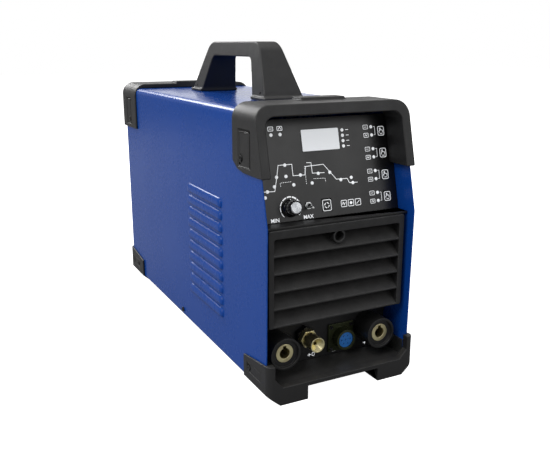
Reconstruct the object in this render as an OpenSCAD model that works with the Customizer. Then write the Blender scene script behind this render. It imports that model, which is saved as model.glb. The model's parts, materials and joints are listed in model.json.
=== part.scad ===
// Portable inverter TIG welding machine, standing on its four corner feet.
// X runs to the right, the front faces -Y, Z is up and the ground is z = 0.
// The origin is under the middle of the machine.

/* [Case] */
// Width over the sheet-steel cover
case_w = 200; // [196:1:204]
// Length over the plastic corner guards
case_l = 560; // [550:5:600]
// Height of the cover's top above the ground
case_h = 336; // [334:1:340]
// Thickness of the cover sheet
sheet_t = 1.2; // [1:0.1:1.4]
// Radius of the cover's two long bends
bend_r = 8; // [6:0.5:9]
// Angle by which the front edge and the control panel lean back
lean = 13.8; // [12:0.1:15]
// Depth of the control panel behind the cover's front edge
panel_depth = 30.2; // [28:0.1:33]

/* [Louvres] */
// Number of louvres in each side
louvre_count = 10; // [4:1:11]
// Length of one louvre
louvre_l = 118; // [90:1:130]
// Distance from one louvre to the next
louvre_pitch = 16.2; // [15:0.1:16.5]
// Height of one pressed hood
louvre_h = 11; // [9:0.5:12]
// How far a hood stands out of the sheet
louvre_out = 3; // [2:0.5:3]

/* [Guards] */
// Distance from the cover to the guard's outer side
guard_t = 3; // [2.8:0.1:4]
// Height of the guards over the cover's top
guard_top = 7; // [5:0.5:9]
// Radius of the guards' upper corners
guard_r = 19; // [16:0.5:19]
// Width of the rim around the guards' openings
rim_w = 12; // [10:0.5:14]
// Half distance between the inner faces of the feet
foot_in = 49.5; // [40:0.5:55]
// Half distance between the outer edges of the feet
foot_out = 86.5; // [70:0.5:88]

/* [Handle] */
// Height of the handle's top above the ground
handle_top = 410; // [405:1:420]
// Width of the grip at the top
grip_w = 30; // [28:1:36]
// Width of the handle at its base
handle_w = 56; // [50:1:60]
// Thickness of the grip bar
grip_t = 20; // [18:1:22]

/* [Grille] */
// Number of slats
slat_count = 5; // [5:1:5]
// Distance from one slat to the next
slat_pitch = 21.25; // [21:0.05:21.5]
// Width of the grille
grille_w = 186; // [180:1:188]

/* [Sockets] */
// Distance of each output socket from the middle
socket_x = 68; // [67:0.1:70]
// Height of the output sockets
socket_z = 52; // [50:0.5:54]
// Radius of the bore for the cable plug
plug_r = 6.5; // [6:0.1:7]
// Radius of the insulating collar
collar_r = 20; // [19:0.5:21]
// Place of the torch gas connector, across
gas_x = -25; // [-27:0.5:-23]
// Height of the torch gas connector
gas_z = 55; // [53:0.5:57]
// Place of the remote-control socket, across
remote_x = 29; // [28:0.5:31]
// Height of the remote-control socket
remote_z = 43; // [42:0.5:45]

/* [Controls] */
// Travel of the panel buttons
key_travel = 0.8; // [0.4:0.1:1]
// Full throw of the toggle lever, in degrees
toggle_throw = 30; // [24:1:30]
// Full throw of the mains rocker, in degrees
rocker_throw = 20; // [16:1:20]
// Height of the knob over the panel
knob_h = 15; // [12:0.5:16]

/* [Fan] */
// Side of the square fan frame
fan_size = 120; // [119:1:120]
// Number of fan blades
blade_count = 7; // [5:1:7]

/* [Hidden] */
$fn = 48;

// Finishes
paint_blue = "royalblue";
plastic_black = [0.2, 0.2, 0.21];
sheet_black = [0.13, 0.13, 0.14];
zinc = "silver";
brass = [0.85, 0.7, 0.4];
copper = [0.8, 0.5, 0.3];
board_green = [0.1, 0.4, 0.2];

// Gaps and the main planes of the case
gap = 0.2;
big = 400;
half_w = case_w/2;
front_y = -case_l/2;
rear_y = case_l/2;
edge_y = front_y + 7;
cover_rear_y = rear_y - 8;
cover_z0 = 14;
knee_z = 211;
guard_half = half_w + guard_t;
guard_z = case_h + guard_top;
inner_half = half_w - sheet_t - gap;
inner_top = case_h - sheet_t - gap;

// Control panel: its lower edge, its length up the slope and its layers
panel_z = 209;
panel_y = edge_y + panel_depth;
panel_len = 118;
overlay_t = 0.5;
plate_d0 = overlay_t + 0.1;
plate_d1 = 3.2;
board_d = 11;
lamp_r = 2.1;
key_clear = 0.3;

// Front bulkhead, rear panel and what stands on the base pan
pan_top = cover_z0 + 1.6;
bulk_y = edge_y + 50;
bulk_t = 2;
rear_panel_y = rear_y - 23;
rear_panel_t = 1.5;

// Lower guards: chamfer at the sides, height of the feet and the connector opening
chamfer_z = 14;
foot_h = 17;
bay_half = 93;
bay_floor = 83;

// Screws through the guards: distance from the near end plane and height
guard_spots = [[edge_y + 62.5, 281.5], [edge_y + 46, 29],
               [rear_y - 39, 285], [rear_y - 43, 29]];
screw_head_r = 3.6;
screw_r = 2;
cover_screw_spots = [[edge_y + 282, 21]];

// Weld-cycle lamps on the panel, across and up the slope
cycle_lamps = [[-80, 36.5], [-70.5, 41.5], [-66.5, 52], [-54.3, 65], [-54.3, 52],
               [-45.3, 41.5], [-35.3, 52], [-20.8, 41.5], [-11.3, 52], [4.5, 52],
               [18.8, 42], [35.3, 37], [-83.5, 30], [33.7, 43.5]];
pair_x = 69.4;
pair_s = 97.6;
pair_pitch = 26.9;
lamp_spots = concat([for (x = [-67.8, -56.1]) [x, 100.3]],
                    [for (i = [0:3]) [27.5, 101 - 6.4*i]],
                    [for (k = [0:3]) each [for (d = [5, -5]) [pair_x, pair_s - pair_pitch*k + d]]],
                    cycle_lamps);
key_x = 83;
key_s = 97.3;
key_size = [11, 13];
menu_at = [-4.4, 14.1];
menu_size = [13.4, 15];
display_at = [-3.4, 91.4];
display_size = [51, 25.4];
knob_at = [-52.9, 15.2];
toggle_at = [-29.6, 15.8];
toggle_pivot_d = -0.5;

// Grille and its screw boss
grille_boss_z = 189.5;
grille_boss_r = 8;
grille_y0 = edge_y + 10;
grille_z0 = 89;
grille_z1 = panel_z - 3.2;

// Front connectors
collar_y0 = edge_y + 14.5;
core_y0 = collar_y0 + 3.5;
core_r = 11.5;
gas_y0 = edge_y + 14;
gas_r = 9.6;
remote_half = 18.5;
remote_screw = 14.8;
remote_screw_spots = [for (sx = [-1, 1], sz = [-1, 1])
                      [remote_x + sx*remote_screw, remote_z + sz*remote_screw]];
remote_y0 = bulk_y - 16;

// Handle: its middle, half lengths at the base and the crown, and the slope of its ends
handle_y = edge_y + 277;
handle_z0 = case_h + 0.1;
base_half = 126;
base_rise = 6;
crown_half = 84;
crown_r = 25;
handle_feet = [handle_y - 112, handle_y + 112];
end_slope = atan((base_half - crown_half)/(handle_top - handle_z0 - base_rise));

// Rear parts, across and up
fan_at = [0, 205];
switch_at = [-58, 298];
gland_at = [-62, 48];
stud_at = [70, 44];
pin_y = rear_panel_y + rear_panel_t + 1;
valve_y0 = rear_panel_y - 52;
fan_y0 = rear_panel_y - 0.4 - 25;
hub_r = 21;
fan_hole = 52.5;

// ---------- shared shapes ----------

module along_y(y0, y1)
  translate([0, y1, 0]) rotate([90, 0, 0]) linear_extrude(y1 - y0) children();

module along_x(x0, x1)
  translate([x0, 0, 0]) rotate([90, 0, 90]) linear_extrude(x1 - x0) children();

module block(x0, x1, y0, y1, z0, z1)
  translate([x0, y0, z0]) cube([x1 - x0, y1 - y0, z1 - z0]);

module rod_y(x, z, y0, y1, r)
  translate([x, y0, z]) rotate([-90, 0, 0]) cylinder(h = y1 - y0, r = r);

module rod_x(y, z, x0, x1, r)
  translate([x0, y, z]) rotate([0, 90, 0]) cylinder(h = x1 - x0, r = r);

module both_sides() {
  children();
  mirror([1, 0, 0]) children();
}

// Local frame of the control panel: x across, y inward, z up the slope
module on_panel()
  translate([0, panel_y, panel_z]) rotate([-lean, 0, 0]) children();

module panel_rod(at, d0, d1, r)
  translate([at[0], d0, at[1]]) rotate([-90, 0, 0]) cylinder(h = d1 - d0, r = r);

module panel_slab(at, size, d0, d1)
  translate([at[0] - size[0]/2, d0, at[1] - size[1]/2]) cube([size[0], d1 - d0, size[1]]);

// Upright outline with two round upper corners
module arch(half, z0, z1, r) {
  translate([-half, z0]) square([2*half, z1 - r - z0]);
  translate([-half + r, z0]) square([2*(half - r), z1 - z0]);
  for (side = [-1, 1]) translate([side*(half - r), z1 - r]) circle(r);
}

// Outline of the cover, grown outwards by g
module cover_outline(g, z0)
  arch(half_w + g, z0, case_h + g, bend_r + g);

function edge_at(z) = edge_y + max(0, z - knee_z)*tan(lean);

// Everything behind the leaning front edge, moved back by d
module behind_edge(d, y1) {
  along_x(-big/2, big/2)
    polygon([[edge_y + 4 + d, 0], [edge_y + d, knee_z], [edge_at(big) + d, big], [y1, big], [y1, 0]]);
}

module hex_nut(x, z, y0, y1, flat, bore)
  difference() {
    translate([x, y0, z]) rotate([-90, 30, 0]) cylinder(h = y1 - y0, r = flat/sqrt(3), $fn = 6);
    rod_y(x, z, y0 - 1, y1 + 1, bore);
  }

// ---------- case ----------

module louvre_hoods() {
  first_z = 216 + louvre_h/2;
  y0 = edge_y + 127;
  for (i = [0:louvre_count - 1]) {
    z1 = first_z - louvre_pitch*i;
    along_side_hood(y0, y0 + louvre_l, z1 - louvre_h, z1);
  }
}

// One pressed hood: a slope from the sheet out to an open lower lip
module along_side_hood(y0, y1, z0, z1)
  difference() {
    translate([0, y1, 0]) rotate([90, 0, 0]) linear_extrude(y1 - y0)
      polygon([[half_w - 0.1, z1], [half_w + louvre_out, z0 + 3], [half_w + louvre_out, z0],
               [half_w - 0.1, z0]]);
    translate([0, y1 - sheet_t, 0]) rotate([90, 0, 0]) linear_extrude(y1 - y0 - 2*sheet_t)
      polygon([[half_w - 2, z1 - 1.5], [half_w + louvre_out - sheet_t, z0 + 2.6],
               [half_w + louvre_out - sheet_t, z0 - 1], [half_w - 2, z0 - 1]]);
  }

module louvre_windows() {
  first_z = 216 + louvre_h/2;
  y0 = edge_y + 127 + sheet_t;
  for (i = [0:louvre_count - 1]) {
    z1 = first_z - louvre_pitch*i;
    block(half_w - 3, half_w + 0.01, y0, y0 + louvre_l - 2*sheet_t, z1 - louvre_h, z1 - 2.5);
  }
}

module cover_shell() color(paint_blue)
  difference() {
    union() {
      intersection() {
        along_y(front_y, cover_rear_y) difference() {
          cover_outline(0, cover_z0);
          cover_outline(-sheet_t, cover_z0 - 1);
        }
        behind_edge(0, big);
      }
      both_sides() louvre_hoods();
    }
    both_sides() louvre_windows();
    for (spot = concat(guard_spots, cover_screw_spots))
      rod_x(spot[0], spot[1], -big/2, big/2, screw_r + gap);
    for (at = handle_feet)
      translate([0, at, case_h - 10]) cylinder(h = 20, r = screw_r + 0.5);
  }

module base_pan() color(zinc)
  difference() {
    union() {
      block(-inner_half, inner_half, edge_y + 5, rear_y - 12, cover_z0, cover_z0 + 1.5);
      both_sides() block(inner_half - 1.5, inner_half, edge_y + 8, rear_y - 12, cover_z0, 40);
    }
    for (spot = concat([guard_spots[1], guard_spots[3]], cover_screw_spots))
      rod_x(spot[0], spot[1], -big/2, big/2, screw_r + 0.05);
    for (x = [-60:20:60])
      block(x - 3, x + 3, -140, -60, 0, 30);
  }

module front_bulkhead() color(sheet_black)
  difference() {
    block(-inner_half + 1.8, inner_half - 1.8, bulk_y, bulk_y + bulk_t, cover_z0 + 1.7, 205);
    block(-84, 84, bulk_y - 1, bulk_y + 5, 98, 184);
    both_sides() rod_y(socket_x, socket_z, bulk_y - 1, bulk_y + 5, core_r + gap);
    rod_y(gas_x, gas_z, bulk_y - 1, bulk_y + 5, 6.2);
    rod_y(remote_x, remote_z, bulk_y - 1, bulk_y + 5, 12.2);
    rod_y(0, grille_boss_z, bulk_y - 1, bulk_y + 5, screw_r + 0.05);
    for (at = remote_screw_spots)
      rod_y(at[0], at[1], bulk_y - 1, bulk_y + 5, 1.3);
  }

module panel_openings(grow)
  union() {
    for (at = lamp_spots) panel_rod(at, -5, 20, lamp_r + 0.1);
    for (k = [0:3]) panel_slab(key_place(k), key_size + [2, 2]*key_clear, -5, 20);
    panel_slab(menu_at, menu_size + [2, 2]*key_clear, -5, 20);
    panel_slab(display_at, display_size - [2, 2]*grow, -5, 20);
    panel_rod(knob_at, -5, 20, 3.6);
    panel_rod(toggle_at, -5, 20, 3.1);
  }

function key_place(k) = [key_x, key_s - pair_pitch*k];

module control_bezel() color(plastic_black)
  difference() {
    union() {
      on_panel() translate([-98.4, plate_d0, 0]) cube([196.8, plate_d1 - plate_d0, panel_len]);
      on_panel() both_sides() translate([95.9, 3, 30]) cube([2.5, 22, 80]);
      block(-98.4, 98.4, edge_y + 12, panel_y + 0.9, panel_z - 3, panel_z - 0.2);
      block(-98.4, 98.4, bulk_y - 2.2, bulk_y - 0.2, 186.5, panel_z - 0.2);
      block(-98.4, 98.4, panel_y, bulk_y - 0.2, panel_z - 3, panel_z - 0.2);
    }
    on_panel() panel_openings(2);
    on_panel() panel_slab(display_at, display_size + [0.4, 0.4], -5, 1.7);
    rod_x(guard_spots[0][0], guard_spots[0][1], -big/2, big/2, screw_r + 0.05);
    rod_y(0, grille_boss_z, bulk_y - 10, bulk_y + 5, grille_boss_r + gap);
  }

module control_overlay() color(sheet_black)
  difference() {
    on_panel() translate([-97.8, 0, 0.4]) cube([195.6, overlay_t, panel_len - 0.8]);
    on_panel() panel_openings(-0.2);
  }

// One sloping slat under the gap whose upper edge is at z
module slat(z) {
  low = z - slat_pitch;
  along_x(-grille_w/2 + 3, grille_w/2 - 3)
    polygon([[grille_y0 + 20, z - 3], [grille_y0 + 0.5, low + 2.2], [grille_y0 + 0.5, low],
             [grille_y0 + 3, low], [grille_y0 + 23, z - 5.5], [grille_y0 + 23, z - 3]]);
}

module front_grille() color(plastic_black)
  difference() {
    union() {
      difference() {
        block(-grille_w/2, grille_w/2, grille_y0, bulk_y - 2.6, grille_z0, grille_z1);
        block(-grille_w/2 + 7, grille_w/2 - 7, grille_y0 - 1, bulk_y, grille_z0 - 1, 195.5);
      }
      for (i = [0:slat_count - 1]) slat(195.5 - slat_pitch*i);
      rod_y(0, grille_boss_z, grille_y0 - 1.5, bulk_y - 0.2, grille_boss_r);
    }
    rod_y(0, grille_boss_z, grille_y0 - 5, bulk_y - 14, 6);
    rod_y(0, grille_boss_z, grille_y0 - 5, bulk_y + 5, screw_r + gap);
  }

// Slot that takes the edge of the cover sheet
module sheet_slot(y0, y1)
  along_y(y0, y1) difference() {
    cover_outline(gap, -1);
    cover_outline(-sheet_t - gap, -2);
  }

// Recessed side panel of a guard with its slot, groove and screw hole
module guard_side_cuts(y0, y1, z0, z1, spot)
  both_sides() {
    block(guard_half - 0.9, guard_half + 1, y0, y1, z0, z1);
    block(half_w + 1, guard_half + 1, y0, y1, z1, z1 + 3);
    block(guard_half - 1.8, guard_half + 1, y0 - 2.5, y0, z0, z1 + 3);
    rod_x(spot[0], spot[1], half_w + 1, guard_half + 1, screw_head_r + 0.6);
    rod_x(spot[0], spot[1], half_w - 3, guard_half + 1, screw_r + gap);
  }

module top_front_guard() color(plastic_black)
  difference() {
    union() {
      intersection() {
        along_y(front_y, edge_y + 86) arch(guard_half, 100, guard_z, guard_r);
        along_x(-guard_half, guard_half)
          polygon([[edge_at(265) - 6.5, 265], [edge_y + 55, 265], [edge_y + 71, 267.5],
                   [edge_y + 85, 276], [edge_y + 85, guard_z + 1],
                   [edge_at(guard_z + 1) - 6.5, guard_z + 1]]);
      }
      block(-24, 36, edge_y + 62, edge_y + 85, guard_z - 1, guard_z + 3.5);
    }
    intersection() {
      sheet_slot(edge_y, edge_y + 100);
      behind_edge(-gap, big);
    }
    along_y(front_y - 10, edge_y + 100) arch(guard_half - rim_w, 50, guard_z - rim_w - 1, 12);
    intersection() {
      along_y(front_y, edge_y + 100) cover_outline(gap, -1);
      on_panel() translate([-big/2, -gap, -big/2]) cube(big);
    }
    guard_side_cuts(edge_y + 38.5, edge_y + 68, 272, 311.5, guard_spots[0]);
  }

module top_rear_guard() color(plastic_black)
  difference() {
    union() {
      along_y(rear_y - 73, rear_y) arch(guard_half, 270, guard_z, guard_r);
      block(-30, 30, rear_y - 73, rear_y - 50, guard_z - 1, guard_z + 3.5);
    }
    sheet_slot(rear_y - 80, cover_rear_y + gap);
    along_y(rear_y - 80, rear_y + 10) arch(guard_half - rim_w, 50, guard_z - rim_w - 1, 12);
    along_y(rear_y - 80, rear_panel_y + rear_panel_t + gap) cover_outline(gap, -1);
    guard_side_cuts(rear_y - 44, rear_y - 22, 276, 317, guard_spots[2]);
  }

// Opening in a lower guard in front of the connectors
module bay_outline()
  polygon([[-bay_floor, 22.5], [bay_floor, 22.5], [bay_half, 34], [bay_half, 60],
           [-bay_half, 60], [-bay_half, 34]]);

// Outline of a lower guard seen from the front, with its two feet
module foot_outline(z_side)
  polygon([[-guard_half, z_side], [-guard_half, chamfer_z], [-foot_out, 0], [-foot_in, 0],
           [-foot_in, foot_h], [foot_in, foot_h], [foot_in, 0], [foot_out, 0],
           [guard_half, chamfer_z], [guard_half, z_side]]);

// Lower guard with its outer face at y = 0, running back over depth. The cover
// sheet enters at cover_at and the floor behind the lip ends at floor_end.
module lower_guard(depth, cover_at, floor_end)
  difference() {
    intersection() {
      along_y(0, depth) foot_outline(50.5);
      along_x(-guard_half, guard_half)
        polygon([[0, 0], [0, 50.5], [8, 50.5], [depth, 42], [depth, 0]]);
      translate([0, 0, -1]) linear_extrude(60) union() {
        translate([-guard_half, 8]) square([2*guard_half, depth]);
        translate([-guard_half + 8, 0]) square([2*(guard_half - 8), depth]);
        for (side = [-1, 1]) translate([side*(guard_half - 8), 8]) circle(8);
      }
    }
    along_y(-1, 20) bay_outline();
    along_y(9, depth + 1) translate([-half_w + sheet_t + gap, 20]) square([case_w - 2*sheet_t - 2*gap, 60]);
    block(-half_w - gap, half_w + gap, cover_at, depth + 1, cover_z0 - gap, 16.2);
    both_sides() block(half_w - 3.2, half_w + gap, cover_at, depth + 1, cover_z0 - gap, 60);
    block(-half_w - gap, half_w + gap, floor_end, depth + 1, cover_z0 - gap, 60);
  }

// Cuts in the sides of a lower guard
module lower_side_cuts(y0, y1, spot)
  both_sides() {
    block(guard_half - 0.9, guard_half + 1, y0, y1, 24, 36);
    rod_x(spot[0], spot[1], half_w + 1, guard_half + 1, screw_head_r + 0.6);
    rod_x(spot[0], spot[1], half_w - 3, guard_half + 1, screw_r + gap);
  }

module bottom_front_guard() color(plastic_black)
  difference() {
    translate([0, front_y, 0]) lower_guard(67, 9.8, bulk_y - front_y - gap);
    lower_side_cuts(edge_y + 14, edge_y + 50, guard_spots[1]);
  }

module bottom_rear_guard() color(plastic_black)
  difference() {
    translate([0, rear_y, 0]) mirror([0, 1, 0])
      lower_guard(73, 7.8, rear_y - rear_panel_y - rear_panel_t - gap);
    lower_side_cuts(rear_y - 58, rear_y - 20, guard_spots[3]);
  }

module rear_panel() color(sheet_black)
  difference() {
    union() {
      along_y(rear_panel_y, rear_panel_y + rear_panel_t)
        arch(inner_half - 1.7, cover_z0 + 1.7, inner_top, bend_r - 1.6);
      both_sides() block(inner_half - 3.2, inner_half - 1.7, rear_panel_y - 30, rear_panel_y + 1, 270, 306);
    }
    rod_y(fan_at[0], fan_at[1], rear_panel_y - 5, rear_panel_y + 5, 56);
    for (sx = [-1, 1], sz = [-1, 1])
      rod_y(fan_at[0] + sx*fan_hole, fan_at[1] + sz*fan_hole, rear_panel_y - 5, rear_panel_y + 5, 2.3);
    block(switch_at[0] - 13.8, switch_at[0] + 13.8, rear_panel_y - 5, rear_panel_y + 5,
          switch_at[1] - 10.8, switch_at[1] + 10.8);
    rod_y(gland_at[0], gland_at[1], rear_panel_y - 5, rear_panel_y + 5, 10.2);
    rod_y(gas_x, gas_z, rear_panel_y - 5, rear_panel_y + 5, 5.2);
    rod_y(stud_at[0], stud_at[1], rear_panel_y - 5, rear_panel_y + 5, 2.7);
    rod_x(guard_spots[2][0], guard_spots[2][1], -big/2, big/2, screw_r + 0.05);
  }

// ---------- handle ----------

module handle_side()
  offset(r = crown_r, $fn = 64) offset(delta = -crown_r)
    polygon([[handle_y - base_half, handle_z0 - 60], [handle_y - base_half, handle_z0 + base_rise],
             [handle_y - crown_half, handle_top], [handle_y + crown_half, handle_top],
             [handle_y + base_half, handle_z0 + base_rise], [handle_y + base_half, handle_z0 - 60]]);

module grip_gap()
  offset(r = 13, $fn = 40) offset(delta = -13)
    polygon([[handle_y - 91, handle_z0 - 20], [handle_y - 88, handle_z0 + 6],
             [handle_y - 66, handle_top - grip_t], [handle_y + 66, handle_top - grip_t],
             [handle_y + 88, handle_z0 + 6], [handle_y + 91, handle_z0 - 20]]);

module handle() color(plastic_black)
  difference() {
    union() {
      intersection() {
        along_x(-handle_w/2, handle_w/2) intersection() {
          handle_side();
          translate([handle_y - base_half - 4, handle_z0]) square([2*base_half + 8, 100]);
        }
        along_y(handle_y - 140, handle_y + 140)
          polygon([[-handle_w/2, 300], [-handle_w/2, handle_z0 + base_rise], [-grip_w/2, handle_top],
                   [grip_w/2, handle_top], [handle_w/2, handle_z0 + base_rise], [handle_w/2, 300]]);
      }
      for (end = [-1, 1])
        block(-handle_w/2 - 2.5, handle_w/2 + 2.5, handle_y + end*110 - 22, handle_y + end*110 + 22,
              handle_z0, handle_z0 + 4.5);
    }
    along_x(-handle_w, handle_w) grip_gap();
    for (end = [0, 1]) mirror_end(end) end_cap_body(0.2);
    for (at = handle_feet) {
      translate([0, at, handle_z0 - 1]) cylinder(h = 14, r = screw_r + gap);
      both_sides() rod_x(at, handle_z0 + base_rise + 3, handle_w/2 - 3, handle_w/2 + 1, 1.8);
    }
  }

module mirror_end(end)
  translate([0, handle_y, 0]) mirror([0, end, 0]) translate([0, -handle_y, 0]) children();

// Cap let into the sloping end face of the handle
module end_cap_body(grow)
  translate([0, handle_y - (base_half + crown_half)/2, (handle_top + handle_z0 + base_rise)/2])
    rotate([-end_slope, 0, 0]) translate([0, 0.4 - grow, 0])
      rotate([-90, 0, 0]) linear_extrude(2.6 + 2*grow) offset(r = 7 + grow, $fn = 32)
        translate([-4, -15]) square([8, 38]);

module handle_end_caps() color(sheet_black)
  for (end = [0, 1]) mirror_end(end) end_cap_body(0);

module handle_screws() color(zinc)
  for (at = handle_feet) {
    translate([0, at, case_h - sheet_t - 3.3]) cylinder(h = 3, r = 4.5);
    translate([0, at, case_h - sheet_t - 2]) cylinder(h = 14, r = screw_r);
  }

module guard_screws() color(sheet_black)
  both_sides() for (spot = guard_spots) {
    difference() {
      rod_x(spot[0], spot[1], half_w + 1.05, half_w + 2.9, screw_head_r);
      for (turn = [0, 90])
        translate([half_w + 2, spot[0], spot[1]]) rotate([turn, 0, 0])
          translate([0, -2.2, -0.4]) cube([3, 4.4, 0.8]);
    }
    rod_x(spot[0], spot[1], half_w - 5.5, half_w + 1.2, screw_r);
  }

module cover_screws() color(sheet_black)
  both_sides() for (spot = cover_screw_spots) {
    difference() {
      rod_x(spot[0], spot[1], half_w + 0.05, half_w + 2.2, screw_head_r);
      for (turn = [0, 90])
        translate([half_w + 1.3, spot[0], spot[1]]) rotate([turn, 0, 0])
          translate([0, -2.2, -0.4]) cube([3, 4.4, 0.8]);
    }
    rod_x(spot[0], spot[1], half_w - 10, half_w + 0.1, screw_r);
  }

module grille_screw() color(sheet_black) {
  difference() {
    rod_y(0, grille_boss_z, bulk_y - 17, bulk_y - 14.05, 4.2);
    for (turn = [0, 90])
      translate([0, bulk_y - 17, grille_boss_z]) rotate([0, turn, 0])
        translate([-2.4, -1, -0.5]) cube([4.8, 2.2, 1]);
  }
  rod_y(0, grille_boss_z, bulk_y - 14.1, bulk_y + 6, screw_r);
}

// ---------- controls ----------

module display_window() color("lightgray")
  on_panel() panel_slab(display_at, display_size, 0, 1.5);

module display_module() color(plastic_black)
  on_panel() panel_slab(display_at, [56, 30], plate_d1 + 0.1, board_d - 0.1);

module status_leds() color("white")
  on_panel() for (at = lamp_spots) panel_rod(at, -0.3, 5, lamp_r);

module control_knob() color(sheet_black)
  difference() {
    union() {
      on_panel() panel_rod(knob_at, -2.6, -0.6, 10.5);
      on_panel() panel_rod(knob_at, -knob_h + 1.2, -2.6, 9);
    }
    on_panel() panel_rod(knob_at, -knob_h + 4, 1, 3.02);
    on_panel() panel_rod(knob_at, -knob_h, -knob_h + 2.2, 7.3);
    on_panel() for (i = [0:17])
      translate([knob_at[0] + 9.3*cos(20*i), -knob_h - 1, knob_at[1] + 9.3*sin(20*i)])
        rotate([-90, 0, 0]) cylinder(h = knob_h - 2.6, r = 0.8);
  }

module knob_cap() color(zinc)
  on_panel() panel_rod(knob_at, -knob_h, -knob_h + 2.15, 7.2);

module knob_shaft() color(zinc)
  on_panel() panel_rod(knob_at, -knob_h + 4.2, 6, 3);

module potentiometer() color(zinc)
  difference() {
    union() {
      on_panel() panel_rod(knob_at, -0.2, plate_d1 + 0.2, 3.5);
      on_panel() panel_slab(knob_at, [14, 14], plate_d1 + 0.1, board_d - 0.1);
    }
    on_panel() panel_rod(knob_at, -5, 7, 3.05);
  }

// A key cap with a flange behind the plate
module key(at, size) {
  panel_slab(at, size, -0.5, plate_d1 + 0.5);
  panel_slab(at, size + [2.4, 2.4], plate_d1 + 0.3, plate_d1 + 1.3);
}

module menu_button() color(sheet_black) on_panel() key(menu_at, menu_size);
module mode_button_1() color(sheet_black) on_panel() key(key_place(0), key_size);
module mode_button_2() color(sheet_black) on_panel() key(key_place(1), key_size);
module mode_button_3() color(sheet_black) on_panel() key(key_place(2), key_size);
module mode_button_4() color(sheet_black) on_panel() key(key_place(3), key_size);

module toggle_lever() color(zinc)
  on_panel() translate([toggle_at[0], toggle_pivot_d, toggle_at[1]])
    rotate([90 + toggle_throw/2, 0, 0]) {
      cylinder(h = 11, r1 = 1.2, r2 = 1.9);
      translate([0, 0, 11]) sphere(r = 1.9);
      sphere(r = 1.7);
    }

module toggle_switch_body() color(zinc)
  difference() {
    union() {
      on_panel() panel_rod(toggle_at, -3.6, plate_d1 + 0.2, 3);
      on_panel() panel_slab(toggle_at, [8, 13], plate_d1 + 0.1, board_d - 0.1);
      on_panel() translate([toggle_at[0], -0.1, toggle_at[1]]) rotate([90, 0, 0])
        cylinder(h = 1.8, r = 4.6, $fn = 6);
    }
    on_panel() panel_rod(toggle_at, -5, 3, 2.4);
  }

module control_board() color(board_green)
  on_panel() {
    translate([-94, board_d, 5]) cube([188, 1.6, 105]);
    for (at = concat([for (k = [0:3]) key_place(k)], [menu_at]))
      panel_rod(at, plate_d1 + 1.3 + key_travel + 0.3, board_d - 0.05, 3);
    for (x = [-60, 10]) translate([x, board_d + 1.65, 40]) cube([30, 3, 22]);
  }

// ---------- front connectors ----------

module output_collars() color(sheet_black)
  both_sides() difference() {
    union() {
      rod_y(socket_x, socket_z, collar_y0, bulk_y - 0.2, collar_r - 1.2);
      rod_y(socket_x, socket_z, collar_y0, bulk_y - 14, collar_r);
    }
    rod_y(socket_x, socket_z, collar_y0 - 1, collar_y0 + 4, collar_r - 3);
    rod_y(socket_x, socket_z, collar_y0 - 1, bulk_y + 1, core_r + 0.1);
  }

// Brass socket: plug bore with a key slot, waist and threaded tail
module output_socket(x)
  difference() {
    union() {
      rod_y(x, socket_z, core_y0, bulk_y + bulk_t + 1, core_r);
      rod_y(x, socket_z, bulk_y + bulk_t, bulk_y + 26, 8);
    }
    rod_y(x, socket_z, core_y0 - 1, core_y0 + 30.5, plug_r);
    block(x - 2, x + 2, core_y0 - 1, core_y0 + 26.5, socket_z, socket_z + plug_r + 2.6);
  }

module output_socket_left() color(brass) output_socket(-socket_x);
module output_socket_right() color(brass) output_socket(socket_x);

module socket_nuts() color(brass)
  both_sides() hex_nut(socket_x, socket_z, bulk_y + bulk_t + 7.2, bulk_y + bulk_t + 14, 24, 8.1);

// Brass gas and current connector for the torch
module torch_gas_connector() color(brass)
  difference() {
    union() {
      rod_y(gas_x, gas_z, gas_y0, gas_y0 + 28, gas_r);
      translate([gas_x, gas_y0 + 20, gas_z]) rotate([-90, 0, 0]) cylinder(h = 8, r = 12, $fn = 6);
      rod_y(gas_x, gas_z, gas_y0 + 27, bulk_y + 20, 6);
    }
    rod_y(gas_x, gas_z, gas_y0 - 3, bulk_y + 30, 2);
    translate([gas_x, gas_y0 - 0.1, gas_z]) rotate([-90, 0, 0])
      cylinder(h = 6.5, r1 = gas_r - 1.2, r2 = 2);
  }

module gas_connector_nut() color(zinc) {
  hex_nut(gas_x, gas_z, gas_y0 + 28.2, bulk_y - 0.1, 23, 6.1);
  hex_nut(gas_x, gas_z, bulk_y + bulk_t + 0.1, bulk_y + bulk_t + 5, 20, 6.1);
}

module remote_socket_shell() color("darkolivegreen")
  difference() {
    union() {
      block(remote_x - remote_half, remote_x + remote_half, bulk_y - 2.7, bulk_y - 0.1,
            remote_z - remote_half, remote_z + remote_half);
      rod_y(remote_x, remote_z, remote_y0, bulk_y - 0.5, 13.5);
      rod_y(remote_x, remote_z, bulk_y - 1, bulk_y + 14, 12);
    }
    rod_y(remote_x, remote_z, remote_y0 - 1, bulk_y + 15, 10.4);
    for (at = remote_screw_spots) rod_y(at[0], at[1], bulk_y - 5, bulk_y + 5, 1.7);
  }

module remote_socket_insert() color("dodgerblue")
  difference() {
    rod_y(remote_x, remote_z, remote_y0 + 1.5, bulk_y + 13, 10.3);
    rod_y(remote_x, remote_z, remote_y0, remote_y0 + 10, 0.9);
    for (i = [0:5])
      rod_y(remote_x + 6.2*cos(60*i), remote_z + 6.2*sin(60*i), remote_y0, remote_y0 + 10, 0.9);
  }

module remote_socket_screws() color(sheet_black)
  for (at = remote_screw_spots) {
    rod_y(at[0], at[1], bulk_y - 4.3, bulk_y - 2.75, 2.4);
    rod_y(at[0], at[1], bulk_y - 2.8, bulk_y + 5, 1.25);
  }

// ---------- rear ----------

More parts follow.
